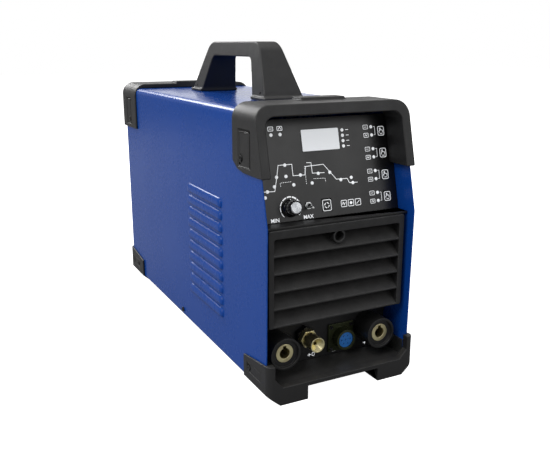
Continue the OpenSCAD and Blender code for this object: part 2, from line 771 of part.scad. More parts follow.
module power_switch_body() color(plastic_black)
  difference() {
    union() {
      block(switch_at[0] - 16, switch_at[0] + 16, rear_panel_y + rear_panel_t + 0.1,
            rear_panel_y + rear_panel_t + 3, switch_at[1] - 13, switch_at[1] + 13);
      block(switch_at[0] - 13.5, switch_at[0] + 13.5, rear_panel_y - 16,
            rear_panel_y + rear_panel_t + 1, switch_at[1] - 10.5, switch_at[1] + 10.5);
    }
    block(switch_at[0] - 11, switch_at[0] + 11, rear_panel_y - 6, rear_panel_y + 20,
          switch_at[1] - 9, switch_at[1] + 9);
    rod_x(pin_y - 1, switch_at[1], switch_at[0] - 12.6, switch_at[0] + 12.6, 1.55);
  }

module power_switch_rocker() color("firebrick")
  translate([0, pin_y - 1, switch_at[1]]) rotate([-rocker_throw/2, 0, 0]) {
    along_x(switch_at[0] - 10.7, switch_at[0] + 10.7)
      polygon([[-3, -3], [3.4, -8], [5, -7.6], [3.4, 0], [5, 7.6], [3.4, 8], [-3, 3]]);
    rod_x(0, 0, switch_at[0] - 12.4, switch_at[0] + 12.4, 1.5);
  }

module cable_gland() color(sheet_black)
  difference() {
    union() {
      translate([gland_at[0], rear_panel_y + rear_panel_t + 0.1, gland_at[1]])
        rotate([-90, 0, 0]) cylinder(h = 6, r = 14, $fn = 6);
      rod_y(gland_at[0], gland_at[1], rear_panel_y + 6, rear_panel_y + 19, 12.2);
      translate([gland_at[0], rear_panel_y + 19, gland_at[1]])
        rotate([-90, 0, 0]) cylinder(h = 3.4, r1 = 12.2, r2 = 8.6);
      rod_y(gland_at[0], gland_at[1], rear_panel_y - 12, rear_panel_y + 4, 10);
    }
    rod_y(gland_at[0], gland_at[1], rear_panel_y - 13, rear_panel_y + 30, 6.2);
  }

module gland_nut() color(sheet_black)
  hex_nut(gland_at[0], gland_at[1], rear_panel_y - 6, rear_panel_y - 0.1, 27, 10.1);

module gas_inlet_barb() color(brass)
  difference() {
    union() {
      rod_y(gas_x, gas_z, rear_panel_y - 8, rear_panel_y + 6, 5);
      translate([gas_x, rear_panel_y + rear_panel_t + 0.1, gas_z])
        rotate([-90, 0, 0]) cylinder(h = 5, r = 9, $fn = 6);
      rod_y(gas_x, gas_z, rear_panel_y + 6, rear_y - 0.2, 3.6);
      for (i = [0:2])
        translate([gas_x, rear_panel_y + 8 + 4.8*i, gas_z]) rotate([-90, 0, 0])
          cylinder(h = 4, r1 = 4.7, r2 = 3.7);
    }
    rod_y(gas_x, gas_z, rear_panel_y - 10, rear_y + 1, 2.2);
  }

module fan_frame() color(sheet_black) {
  difference() {
    block(fan_at[0] - fan_size/2, fan_at[0] + fan_size/2, fan_y0, rear_panel_y - 0.4,
          fan_at[1] - fan_size/2, fan_at[1] + fan_size/2);
    rod_y(fan_at[0], fan_at[1], fan_y0 - 1, rear_panel_y + 1, 58);
    for (sx = [-1, 1], sz = [-1, 1])
      rod_y(fan_at[0] + sx*fan_hole, fan_at[1] + sz*fan_hole, fan_y0 - 1, rear_panel_y + 1, 2.2);
  }
  along_y(fan_y0 + 0.2, fan_y0 + 3.2) translate(fan_at) difference() {
    union() {
      circle(hub_r);
      for (turn = [45:90:315]) rotate(turn) translate([hub_r - 2, -3]) square([40, 6]);
    }
    circle(2.05);
  }
}

module fan_rotor() color(plastic_black) {
  rod_y(fan_at[0], fan_at[1], fan_y0 + 3.6, rear_panel_y - 3, hub_r);
  rod_y(fan_at[0], fan_at[1], fan_y0 - 0.5, fan_y0 + 4, 2);
  intersection() {
    difference() {
      rod_y(fan_at[0], fan_at[1], fan_y0 + 3.8, rear_panel_y - 3.2, 56.5);
      rod_y(fan_at[0], fan_at[1], fan_y0, rear_panel_y + 1, hub_r - 1);
    }
    for (i = [0:blade_count - 1])
      translate([fan_at[0], fan_y0 + 12.8, fan_at[1]]) rotate([0, 360/blade_count*i, 0])
        rotate([38, 0, 0]) translate([hub_r - 2, -1, -15]) cube([40, 2, 30]);
  }
}

// Finger guard: rings joined by radial bars
module fan_guard() color(zinc) {
  y0 = rear_panel_y + rear_panel_t + 0.1;
  for (r = [12:9:57])
    translate([fan_at[0], y0 + 3, fan_at[1]]) rotate([90, 0, 0])
      rotate_extrude() translate([r, 1.2]) circle(1.1);
  for (turn = [45:90:315])
    translate([fan_at[0], y0, fan_at[1]]) rotate([0, turn, 0]) {
      translate([11, 0, -1.5]) cube([60, 1.2, 3]);
      translate([78, 1.2, 0]) rotate([90, 0, 0]) difference() {
        cylinder(h = 1.2, r = 4);
        translate([-3.75, 0, -1]) cylinder(h = 4, r = 2.1);
      }
    }
}

module fan_screws() color(zinc)
  for (sx = [-1, 1], sz = [-1, 1]) {
    y0 = rear_panel_y + rear_panel_t + 1.4;
    rod_y(fan_at[0] + sx*fan_hole, fan_at[1] + sz*fan_hole, y0, y0 + 2, 3.6);
    rod_y(fan_at[0] + sx*fan_hole, fan_at[1] + sz*fan_hole, fan_y0 + 5, y0 + 0.1, 1.9);
  }

module ground_stud() color(brass) {
  y0 = rear_panel_y + rear_panel_t;
  rod_y(stud_at[0], stud_at[1], rear_panel_y - 10, y0 + 6, 2.6);
  rod_y(stud_at[0], stud_at[1], y0 + 5.6, y0 + 18, 3);
  hex_nut(stud_at[0], stud_at[1], y0 + 1.2, y0 + 5.5, 10, 2.65);
  difference() {
    rod_y(stud_at[0], stud_at[1], y0 + 0.1, y0 + 1.1, 6.5);
    rod_y(stud_at[0], stud_at[1], y0 - 1, y0 + 2, 2.65);
  }
}

// ---------- inside ----------

module gas_valve() color(brass)
  difference() {
    union() {
      block(gas_x - 12, gas_x + 12, valve_y0, rear_panel_y - 8.2, gas_z - 12, gas_z + 12);
      translate([gas_x, valve_y0 + 20, gas_z + 12]) cylinder(h = 34, r = 14);
      rod_y(gas_x, gas_z, valve_y0 - 12, valve_y0 + 1, 3.4);
    }
    rod_y(gas_x, gas_z, valve_y0 - 13, valve_y0 + 10, 1.8);
  }

module gas_hose() color(sheet_black)
  difference() {
    rod_y(gas_x, gas_z, bulk_y + 8, valve_y0 - 0.2, 9);
    rod_y(gas_x, gas_z, bulk_y, valve_y0 + 1, 6.05);
  }

module heatsinks() color(zinc)
  both_sides() {
    block(4, 74, -22, 170, 176, 184);
    for (i = [0:9]) block(4 + 7.5*i, 6.5 + 7.5*i, -22, 170, 120, 176.1);
    for (y = [-12, 160]) block(64, 71.5, y - 5, y + 5, pan_top, 120.1);
  }

module power_board() color(board_green) {
  block(-92, 92, -24, 190, 190, 192);
  for (side = [-1, 1], i = [0:3])
    block(side*40 - 9, side*40 + 9, -20 + 50*i, 50*i, 184.2, 190.1);
  both_sides() for (y = [-14, 180])
    translate([86, y, pan_top]) cylinder(h = 190.1 - pan_top, r = 4);
}

module capacitors() color("midnightblue")
  for (side = [-1, 1], i = [0:1])
    translate([side*38, 60 + 60*i, 192.2]) cylinder(h = 55, r = 17.5);

// Ferrite core with its windings
module main_transformer() color(copper)
  union() {
    block(-91, -39, -130, -30, pan_top, 44);
    block(-91, -39, -130, -30, 84, 108);
    block(-91, -39, -92, -68, 43.9, 84.1);
    block(-91, -39, -130, -118, 43.9, 84.1);
    block(-91, -39, -42, -30, 43.9, 84.1);
    block(-95, -35, -114, -46, 46, 82);
  }

// Ring choke lying flat
module output_inductor() color(copper)
  translate([45, -78, pan_top + 14]) rotate_extrude() translate([30, 0]) circle(14);

module bus_bars() color(copper) {
  y0 = bulk_y + bulk_t + 2.2;
  both_sides() difference() {
    union() {
      block(socket_x - 13, socket_x + 13, y0, y0 + 4.8, 34, 110);
      block(socket_x - 13, socket_x + 13, y0, y0 + 60, 106, 110);
    }
    rod_y(socket_x, socket_z, y0 - 5, y0 + 10, 8.2);
  }
}

// Arc-starting coil on its former with two square ends
module hf_coil() color("saddlebrown") {
  rod_x(-168, pan_top + 20, 8, 46, 17);
  for (x = [3, 45.9]) block(x, x + 5.1, -188, -148, pan_top, pan_top + 40);
}

cover_shell();
base_pan();
front_bulkhead();
control_bezel();
control_overlay();
front_grille();
top_front_guard();
bottom_front_guard();
top_rear_guard();
bottom_rear_guard();
rear_panel();
handle();
handle_end_caps();
handle_screws();
guard_screws();
cover_screws();
grille_screw();
display_window();
display_module();
status_leds();
control_knob();
knob_cap();
knob_shaft();
potentiometer();
menu_button();
mode_button_1();
mode_button_2();
mode_button_3();
mode_button_4();
toggle_lever();
toggle_switch_body();
control_board();
output_collars();
output_socket_left();
output_socket_right();
socket_nuts();
torch_gas_connector();
gas_connector_nut();
remote_socket_shell();
remote_socket_insert();
remote_socket_screws();
power_switch_body();
power_switch_rocker();
cable_gland();
gland_nut();
gas_inlet_barb();
fan_frame();
fan_rotor();
fan_guard();
fan_screws();
ground_stud();
gas_valve();
gas_hose();
power_board();
heatsinks();
main_transformer();
output_inductor();
capacitors();
bus_bars();
hf_coil();
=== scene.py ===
"""Inverter TIG welding machine: the finished look of every piece, laid out as an add-on."""
import json
import math
import bmesh
import bpy
from bpy.props import FloatProperty, FloatVectorProperty, IntProperty, PointerProperty
from mathutils import Euler, Matrix, Vector
from mathutils.geometry import tessellate_polygon


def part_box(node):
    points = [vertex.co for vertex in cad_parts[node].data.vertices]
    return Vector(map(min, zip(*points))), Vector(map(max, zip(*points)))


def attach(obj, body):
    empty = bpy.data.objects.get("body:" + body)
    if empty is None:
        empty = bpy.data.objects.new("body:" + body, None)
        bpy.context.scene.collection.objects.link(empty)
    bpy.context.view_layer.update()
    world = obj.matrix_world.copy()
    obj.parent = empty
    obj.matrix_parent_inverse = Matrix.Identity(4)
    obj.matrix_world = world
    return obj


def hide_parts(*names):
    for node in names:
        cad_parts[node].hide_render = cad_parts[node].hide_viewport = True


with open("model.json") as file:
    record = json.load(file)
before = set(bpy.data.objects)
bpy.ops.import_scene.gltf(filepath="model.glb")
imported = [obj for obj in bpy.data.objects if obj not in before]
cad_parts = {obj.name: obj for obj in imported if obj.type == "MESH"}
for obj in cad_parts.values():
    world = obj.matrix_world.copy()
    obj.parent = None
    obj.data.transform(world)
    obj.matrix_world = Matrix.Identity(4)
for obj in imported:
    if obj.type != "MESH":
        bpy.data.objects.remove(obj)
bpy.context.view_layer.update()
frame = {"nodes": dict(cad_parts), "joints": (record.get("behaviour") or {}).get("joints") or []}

bl_info = {
    "name": "TIG welding machine",
    "version": (1, 0, 0),
    "blender": (4, 5, 0),
    "location": "3D View > Sidebar > Welder",
    "description": "Builds the case, controls, connectors and fan of a portable TIG welding machine",
    "category": "Object",
}

MM = 0.001
TOUCHING = 1e-6             # metres: points closer than this are one
SLOPE = math.radians(13.8)  # lean of the control panel and of the guards round it

# the sheet cover, in millimetres
HALF_WIDTH = 100.0
COVER_TOP = 336.0
BEND_RADIUS = 8.0
SHEET = 1.2
KNEE = 211.0                # height from which its front edge leans back

# side holes in the handle's feet, in millimetres
HOLE_INSET = 4.5
HOLE_HEIGHT = 9
HOLE_REACH = 2.6

GRILLE_SCREW_HEIGHT = 189.5
CONTACT_RING = 6.2
CONTACT_DEPTH = 5.6


# ---------------------------------------------------------------- sizes and colours

def tint(red, green, blue):
    """Screen colour from 0 to 255 as the linear colour that a shader takes."""
    return tuple(c / 12.92 if c < 0.04045 else ((c + 0.055) / 1.055) ** 2.4
                 for c in (red / 255, green / 255, blue / 255))


def colour(label, about, *rgb):
    return FloatVectorProperty(name=label, description=about, subtype="COLOR", size=3,
                               min=0, max=1, default=tint(*rgb))


def length(label, about, millimetres):
    return FloatProperty(name=label, description=about, unit="LENGTH", subtype="DISTANCE",
                         precision=5, min=0, default=millimetres * MM)


def number(label, about, default, least, most):
    return IntProperty(name=label, description=about, default=default, min=least, max=most)


def scaled(rgb, gain, lift=0.0):
    """A colour made lighter or darker."""
    return tuple(min(1, c * gain + lift) for c in rgb)


class WelderColours(bpy.types.PropertyGroup):
    """Colours of the finishes."""
    paint: colour("Cover paint", "Gloss paint of the sheet-steel cover", 14, 67, 151)
    moulded: colour("Moulded plastic", "Guards, handle and grille", 29, 29, 30)
    sheet: colour("Black sheet", "Powder-coated sheet behind the grille", 22, 22, 24)
    foil: colour("Panel foil", "Printed foil of the control panel", 13, 13, 15)
    ink: colour("Print", "White print on the panel and the keys", 226, 228, 230)
    brass: colour("Brass", "Sockets and gas fittings", 230, 218, 172)
    window: colour("Display window", "Smoked window of the display", 206, 209, 212)
    insert: colour("Socket insert", "Insulating insert of the remote socket", 42, 120, 205)
    rocker: colour("Mains rocker", "Rocker of the mains switch", 150, 22, 20)


class WelderSizes(bpy.types.PropertyGroup):
    """Sizes of what repeats and of the rounded edges."""
    louvre_count: number("Louvres", "Hoods in each side", 10, 1, 10)
    louvre_pitch: length("Louvre pitch", "Distance from one hood to the next", 16.2)
    louvre_rise: length("Louvre rise", "How far a hood stands out", 3.0)
    slat_count: number("Slats", "Slats of the front grille", 5, 1, 5)
    slat_pitch: length("Slat pitch", "Distance from one slat to the next", 21.25)
    flute_count: number("Knob ribs", "Ribs round the knob", 18, 6, 36)
    wire_rings: number("Guard rings", "Wire rings over the fan", 6, 2, 6)
    blade_count: number("Fan blades", "Blades of the fan", 7, 3, 7)
    guard_edge: length("Guard edge", "Rounding of the moulded guards' edges", 1.6)
    print_line: length("Print line", "Width of a printed line", 0.7)


def sizes():
    return bpy.context.scene.welder_sizes


def millimetres(name):
    return getattr(sizes(), name) / MM


# ---------------------------------------------------------------- shapes in millimetres

class Shape:
    """Points in millimetres, faces, and how much each point lies on an edge that wears."""

    def __init__(self, points=(), faces=(), worn=None):
        self.points = [Vector(p) for p in points]
        self.faces = [tuple(f) for f in faces]
        self.worn = list(worn) if worn else [0.0] * len(self.points)

    def __add__(self, other):
        base = len(self.points)
        faces = self.faces + [tuple(i + base for i in f) for f in other.faces]
        return Shape(self.points + other.points, faces, self.worn + other.worn)

    def placed(self, matrix):
        turned = matrix.determinant() < 0
        faces = [f[::-1] for f in self.faces] if turned else self.faces
        return Shape([matrix @ p for p in self.points], faces, self.worn)

    def mesh(self, scale=1.0):
        mesh = bpy.data.meshes.new("shape")
        mesh.from_pydata([p * scale for p in self.points], [], self.faces)
        mesh.attributes.new("edge", "FLOAT", "POINT").data.foreach_set("value", self.worn)
        mesh.update()
        return mesh


def shape_of(mesh):
    """A mesh as a shape, with its edge attribute if it has one."""
    worn = mesh.attributes.get("edge")
    values = [0.0] * len(mesh.vertices)
    if worn:
        worn.data.foreach_get("value", values)
    return Shape([v.co for v in mesh.vertices], [p.vertices for p in mesh.polygons], values)


def frame_at(x_axis, y_axis, z_axis, origin):
    matrix = Matrix((x_axis, y_axis, z_axis)).transposed().to_4x4()
    matrix.translation = Vector(origin)
    return matrix


def to_front(x, y, z):
    return frame_at((1, 0, 0), (0, 0, 1), (0, -1, 0), (x, y, z))


def to_rear(x, y, z):
    return frame_at((-1, 0, 0), (0, 0, 1), (0, 1, 0), (x, y, z))


def to_side(side, x, y, z):
    return frame_at((0, side, 0), (0, 0, 1), (side, 0, 0), (x, y, z))


def along_width(x):
    return frame_at((0, 1, 0), (0, 0, 1), (1, 0, 0), (x, 0, 0))


def up(x, y, z):
    return Matrix.Translation((x, y, z))


def on_panel(x=0.0, slope=0.0, height=0.0):
    """Local X across the control panel, Y up its slope and Z out of it."""
    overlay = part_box("control_overlay")[0] / MM
    climb = Vector((0, math.sin(SLOPE), math.cos(SLOPE)))
    out = Vector((0, -math.cos(SLOPE), math.sin(SLOPE)))
    corner = Vector((0, overlay.y, overlay.z + 0.5 * math.sin(SLOPE))) - 0.4 * climb
    return frame_at((1, 0, 0), climb, out, corner + climb * slope + out * height + Vector((x, 0, 0)))


def softened(points, radius, closed=True, steps=3):
    """Rounds the corners of a line. Each result is (x, y, wear)."""
    result, count = [], len(points)
    for i, point in enumerate(points):
        corner = Vector(point[:2])
        if not closed and i in (0, count - 1):
            result.append((*corner, 0.0))
            continue
        before = Vector(points[i - 1][:2]) - corner
        after = Vector(points[(i + 1) % count][:2]) - corner
        reach = min(radius, before.length * 0.48, after.length * 0.48)
        start, end = corner + before.normalized() * reach, corner + after.normalized() * reach
        for k in range(steps + 1):
            t = k / steps
            spot = start * (1 - t) ** 2 + corner * 2 * t * (1 - t) + end * t * t
            result.append((*spot, 1.0 if 0 < k < steps else 0.3))
    return result


def lathe(profile, radius=0.3, turns=40, closed=False):
    """Turns a line of (radius, height) round local Z, from the axis up the outside and back."""
    line = softened(profile, radius, closed)
    points, faces, worn, rings = [], [], [], []
    for r, h, wear in line:
        count = 1 if r < 1e-6 else turns
        rings.append((len(points), count))
        for k in range(count):
            angle = math.tau * k / turns
            points.append((r * math.cos(angle), r * math.sin(angle), h))
            worn.append(wear)
    pairs = list(zip(rings, rings[1:])) + ([(rings[-1], rings[0])] if closed else [])
    for (a, na), (b, nb) in pairs:
        for k in range(turns):
            n = (k + 1) % turns
            if na == 1 and nb > 1:
                faces.append((a, b + n, b + k))
            elif nb == 1 and na > 1:
                faces.append((a + k, a + n, b))
            elif na > 1 and nb > 1:
                faces.append((a + k, a + n, b + n, b + k))
    return Shape(points, faces, worn)


def anticlockwise(loop):
    area = sum(a[0] * b[1] - b[0] * a[1] for a, b in zip(loop, loop[1:] + loop[:1]))
    return loop if area > 0 else loop[::-1]


def prism(outline, depth, soft=0.3, holes=(), steps=2):
    """Raises a flat outline with holes to depth along local Z, with rounded rims."""
    loops = [anticlockwise([tuple(p[:2]) for p in outline])]
    loops += [anticlockwise([tuple(p[:2]) for p in hole])[::-1] for hole in holes]
    arc = [(soft * (1 - math.sin(k / steps * math.pi / 2)), soft * (1 - math.cos(k / steps * math.pi / 2)),
            1.0 if 0 < k < steps else 0.3) for k in range(steps + 1)]
    rings = arc + [(inset, depth - height, wear) for inset, height, wear in reversed(arc)]
    leans = []
    for loop in loops:
        for i, point in enumerate(loop):
            here = Vector(point)
            a = (here - Vector(loop[i - 1])).normalized()
            b = (Vector(loop[(i + 1) % len(loop)]) - here).normalized()
            normal = Vector((a.y + b.y, -a.x - b.x))
            leans.append((here, normal * (2 / max(normal.length_squared, 0.6))))
    points, worn, faces = [], [], []
    for inset, height, wear in rings:
        points += [(*(here - lean * inset), height) for here, lean in leans]
        worn += [wear] * len(leans)
    first = 0
    for loop in loops:
        count = len(loop)
        for ring in range(len(rings) - 1):
            for k in range(count):
                a = ring * len(leans) + first + k
                b = ring * len(leans) + first + (k + 1) % count
                faces.append((a, b, b + len(leans), a + len(leans)))
        first += count
    flat = [[Vector((*p[:2], 0)) for p in points[s:s + len(l)]] for s, l in
            zip([sum(len(k) for k in loops[:i]) for i in range(len(loops))], loops)]
    top = len(leans) * (len(rings) - 1)
    for tri in tessellate_polygon(flat):
        a, b, c = (Vector(points[i][:2]) for i in tri)
        tri = tri if (b - a).cross(c - a) > 0 else tri[::-1]
        faces.append(tuple(i + top for i in tri))
        faces.append(tuple(tri[::-1]))
    return Shape(points, faces, worn)


def box_outline(width, height, corner=0.0, x=0.0, y=0.0, steps=4):
    w, h = width / 2, height / 2
    corners = [(x - w, y - h), (x + w, y - h), (x + w, y + h), (x - w, y + h)]
    return softened(corners, corner, steps=steps) if corner else corners


def circle(radius, count=32, x=0.0, y=0.0, turn=0.0):
    return [(x + radius * math.cos(math.tau * k / count + turn),
             y + radius * math.sin(math.tau * k / count + turn)) for k in range(count)]


def ribbon(line, width, closed=False, thick=0.07):
    """A printed line of one width, or of one width for each point."""
    points, count = [Vector(p[:2]) for p in line], len(line)
    widths = width if isinstance(width, list) else [width] * count
    verts, faces = [], []
    for i, here in enumerate(points):
        a = here - points[i - 1] if closed or i else points[1] - here
        b = points[(i + 1) % count] - here if closed or i < count - 1 else here - points[i - 1]
        a, b = a.normalized(), b.normalized()
        normal = Vector((-a.y - b.y, a.x + b.x))
        lean = normal * (1 / max(normal.length_squared, 0.5)) * widths[i]
        for spot in (here + lean, here - lean):
            verts += [(*spot, 0.0), (*spot, thick)]
    for i in range(count if closed else count - 1):
        a, b = 4 * i, 4 * ((i + 1) % count)
        faces += [(a + 3, b + 3, b + 1, a + 1), (a, b, b + 2, a + 2),
                  (a + 1, b + 1, b, a), (a + 2, b + 2, b + 3, a + 3)]
    if not closed:
        end = 4 * (count - 1)
        faces += [(0, 2, 3, 1), (end, end + 1, end + 3, end + 2)]
    return Shape(verts, faces)


def patch(outline, thick=0.07):
    """A printed area."""
    return prism(outline, thick, soft=0.01, steps=1)


def lettering(text, size, x, y):
    """A printed word, centred on (x, y)."""
    curve = bpy.data.curves.new("word", "FONT")
    curve.body, curve.size, curve.extrude = text, size, 0.035
    curve.align_x, curve.align_y = "CENTER", "CENTER"
    curve.offset = size * 0.018
    word = bpy.data.objects.new("word", curve)
    bpy.context.scene.collection.objects.link(word)
    result = shape_of(evaluated(word))
    bpy.data.objects.remove(word)
    return result.placed(up(x, y, 0.035))


def evaluated(thing):
    """The thing's mesh as its modifiers leave it."""
    bpy.context.view_layer.update()
    graph = bpy.context.evaluated_depsgraph_get()
    return bpy.data.meshes.new_from_object(thing.evaluated_get(graph))


# ---------------------------------------------------------------- what repeats: geometry nodes

def new_tree(name, kind, inputs, outputs):
    tree = bpy.data.node_groups.new(name, kind)
    for label, socket, value in inputs:
        made = tree.interface.new_socket(label, in_out="INPUT", socket_type=socket)
        if value is not None:
            made.default_value = value
    for label, socket in outputs:
        tree.interface.new_socket(label, in_out="OUTPUT", socket_type=socket)
    return tree, tree.nodes.new("NodeGroupInput"), tree.nodes.new("NodeGroupOutput")


def node(tree, kind, inputs=None, **settings):
    """Adds a node, sets its values and links sockets to its inputs."""
    made = tree.nodes.new(kind)
    for key, value in settings.items():
        setattr(made, key, value)
    for key, value in (inputs or {}).items():
        if isinstance(value, bpy.types.NodeSocket):
            tree.links.new(value, made.inputs[key])
        else:
            made.inputs[key].default_value = value
    return made


def growing_tree(name, *inputs):
    """A geometry tree with these inputs and a finish."""
    return new_tree(name, "GeometryNodeTree", [*inputs, ("Finish", "NodeSocketMaterial", None)],
                    [("Geometry", "NodeSocketGeometry")])


def counted_points(tree, start, offset=(0, 0, 0)):
    """As many points as the tree's count says, one offset apart."""
    return node(tree, "GeometryNodeMeshLine", {"Count": start.outputs["Count"], "Offset": offset},
                mode="OFFSET").outputs[0]


def index_times(tree, factor, first):
    """The index of each point times a factor, from a first value on."""
    index = node(tree, "GeometryNodeInputIndex")
    return calc(tree, "MULTIPLY_ADD", index.outputs[0], factor, first)


def copies_on(tree, points, instance, **placing):
    return node(tree, "GeometryNodeInstanceOnPoints",
                {"Points": points, "Instance": instance, **placing}).outputs[0]


def end_tree(tree, last, geometry, finish):
    """Every tree ends in real geometry with its finish set."""
    real = node(tree, "GeometryNodeRealizeInstances", {"Geometry": geometry})
    painted = node(tree, "GeometryNodeSetMaterial", {"Geometry": real.outputs[0], "Material": finish})
    tree.links.new(painted.outputs[0], last.inputs[0])
    return tree


def row_tree():
    """Copies of a piece, one step apart."""
    tree, start, end = growing_tree(
        "Row of pieces", ("Piece", "NodeSocketGeometry", None), ("Count", "NodeSocketInt", 5),
        ("Step", "NodeSocketVector", (0, 0, 1)))
    line = counted_points(tree, start, start.outputs["Step"])
    return end_tree(tree, end, copies_on(tree, line, start.outputs["Piece"]), start.outputs["Finish"])


def ring_tree():
    """Copies of a piece round local Z."""
    tree, start, end = growing_tree(
        "Ring of pieces", ("Piece", "NodeSocketGeometry", None), ("Count", "NodeSocketInt", 8),
        ("Start angle", "NodeSocketFloat", 0.0))
    line = counted_points(tree, start)
    share = calc(tree, "DIVIDE", math.tau, start.outputs["Count"])
    angle = index_times(tree, share, start.outputs["Start angle"])
    turn = node(tree, "ShaderNodeCombineXYZ", {"Z": angle})
    copies = copies_on(tree, line, start.outputs["Piece"], Rotation=turn.outputs[0])
    return end_tree(tree, end, copies, start.outputs["Finish"])


def spots_tree():
    """Copies of a piece at spots, each turned as its spot says."""
    tree, start, end = growing_tree(
        "Pieces at spots", ("Spots", "NodeSocketGeometry", None), ("Piece", "NodeSocketObject", None),
        ("Size", "NodeSocketFloat", 1.0))
    piece = node(tree, "GeometryNodeObjectInfo", {"Object": start.outputs["Piece"]})
    turn = node(tree, "GeometryNodeInputNamedAttribute", {"Name": "turn"}, data_type="FLOAT_VECTOR")
    copies = copies_on(tree, start.outputs["Spots"], piece.outputs["Geometry"],
                       Rotation=turn.outputs[0], Scale=start.outputs["Size"])
    return end_tree(tree, end, copies, start.outputs["Finish"])


def circle_curve(tree, points, radius):
    return node(tree, "GeometryNodeCurvePrimitiveCircle", {"Resolution": points, "Radius": radius}).outputs[0]


def wire_tree():
    """Round wires bent to rings that grow by one pitch each."""
    tree, start, end = growing_tree(
        "Wire rings", ("Geometry", "NodeSocketGeometry", None), ("Count", "NodeSocketInt", 6),
        ("First radius", "NodeSocketFloat", 12.0), ("Pitch", "NodeSocketFloat", 9.0),
        ("Wire radius", "NodeSocketFloat", 1.1))
    line = counted_points(tree, start)
    radius = index_times(tree, start.outputs["Pitch"], start.outputs["First radius"])
    copies = copies_on(tree, line, circle_curve(tree, 72, 1.0), Scale=radius)
    rings = node(tree, "GeometryNodeRealizeInstances", {"Geometry": copies})
    wire = circle_curve(tree, 10, start.outputs["Wire radius"])
    swept = node(tree, "GeometryNodeCurveToMesh", {"Curve": rings.outputs[0], "Profile Curve": wire})
    return end_tree(tree, end, swept.outputs[0], start.outputs["Finish"])


trees = {}


def known_tree(maker):
    """The tree that a maker builds, built once."""
    tree = bpy.data.node_groups.get(trees.get(maker.__name__, "")) or maker()
    trees[maker.__name__] = tree.name
    return tree


def grown(tree_maker, shape, finish, **values):
    """Runs a tree on a shape and gives back the shape that it makes."""
    base = bpy.data.objects.new("seed", shape.mesh())
    bpy.context.scene.collection.objects.link(base)
    return grown_on(base, tree_maker, finish, **values)


def grown_on(base, tree_maker, finish, **values):
    tree = known_tree(tree_maker)
    modifier = base.modifiers.new("grow", "NODES")
    modifier.node_group = tree
    for item in tree.interface.items_tree:
        if item.in_out == "INPUT" and item.name in values:
            modifier[item.identifier] = values[item.name]
        elif item.in_out == "INPUT" and item.name == "Finish":
            modifier[item.identifier] = finish
    result = shape_of(evaluated(base))
    bpy.data.objects.remove(base)
    return result


def at_spots(shape, finish, spots, turn, size=1.0):
    """The shape at each spot, turned by an Euler angle or by one for each spot."""
    turns = turn if isinstance(turn, list) else [turn] * len(spots)
    points = bpy.data.meshes.new("spots")
    points.from_pydata([tuple(s) for s in spots], [], [])
    layer = points.attributes.new("turn", "FLOAT_VECTOR", "POINT")
    layer.data.foreach_set("vector", [c for t in turns for c in t])
    base = bpy.data.objects.new("spots", points)
    master = bpy.data.objects.new("master", shape.mesh())
    for thing in (base, master):
        bpy.context.scene.collection.objects.link(thing)
    result = grown_on(base, spots_tree, finish, Piece=master, Size=size)
    bpy.data.objects.remove(master)
    return result


def islands(name):
    """Lowest and highest corner, in millimetres, of each separate solid of a CAD node."""
    bm = bmesh.new()
    bm.from_mesh(frame["nodes"][name].data)
    bmesh.ops.remove_doubles(bm, verts=bm.verts, dist=TOUCHING)
    found, seen = [], set()
    for first in bm.verts:
        if first in seen:
            continue
        group, queue = [], [first]
        seen.add(first)
        while queue:
            vert = queue.pop()
            group.append(vert.co / MM)
            for edge in vert.link_edges:
                other = edge.other_vert(vert)
                if other not in seen:
                    seen.add(other)
                    queue.append(other)
        found.append((Vector(map(min, zip(*group))), Vector(map(max, zip(*group)))))
    bm.free()
    return sorted(found, key=lambda pair: tuple(pair[0]))


# ---------------------------------------------------------------- finishes: shader nodes

def calc(tree, operation, a, b=0.0, c=0.0, clamp=False):
    return node(tree, "ShaderNodeMath", {0: a, 1: b, 2: c}, operation=operation, use_clamp=clamp).outputs[0]


def between(tree, factor, low, high):
    """A number that runs from low to high with the factor."""
    return node(tree, "ShaderNodeMapRange", {"Value": factor, "To Min": low, "To Max": high}).outputs[0]


def step_mask(tree, value, low, high):
    return node(tree, "ShaderNodeMapRange", {"Value": value, "From Min": low, "From Max": high},
                interpolation_type="SMOOTHSTEP").outputs[0]


def mixed(tree, factor, one, other):
    made = node(tree, "ShaderNodeMix", {0: factor}, data_type="RGBA")
    for socket, value in ((made.inputs[6], one), (made.inputs[7], other)):
        if isinstance(value, bpy.types.NodeSocket):
            tree.links.new(value, socket)
        else:
            socket.default_value = (*value, 1)
    return made.outputs[2]


def object_place(tree):
    return node(tree, "ShaderNodeTexCoord").outputs["Object"]


def noise(tree, vector, scale, detail=2.0, rough=0.5):
    return node(tree, "ShaderNodeTexNoise", {"Vector": vector, "Scale": scale, "Detail": detail,
                                             "Roughness": rough}).outputs[0]


def grain_group():
    """Fine surface texture: pebbled height and slow mottling."""
    tree, start, end = new_tree("Surface grain", "ShaderNodeTree", [
        ("Size", "NodeSocketFloat", 1500.0), ("Patch", "NodeSocketFloat", 28.0),
    ], [("Height", "NodeSocketFloat"), ("Mottle", "NodeSocketFloat")])
    place = object_place(tree)
    fine = noise(tree, place, start.outputs["Size"], 3, 0.6)
    pebble = node(tree, "ShaderNodeTexVoronoi", {"Vector": place, "Scale": start.outputs["Size"]},
                  feature="SMOOTH_F1").outputs["Distance"]
    height = calc(tree, "MULTIPLY_ADD", pebble, 0.6, fine)
    patchy = noise(tree, place, start.outputs["Patch"], 5, 0.62)
    speck = noise(tree, place, calc(tree, "MULTIPLY", start.outputs["Size"], 0.4), 1)
    mottle = calc(tree, "MULTIPLY_ADD", speck, 0.35, calc(tree, "MULTIPLY", patchy, 0.75))
    tree.links.new(height, end.inputs["Height"])
    tree.links.new(step_mask(tree, mottle, 0.3, 0.8), end.inputs["Mottle"])
    return tree


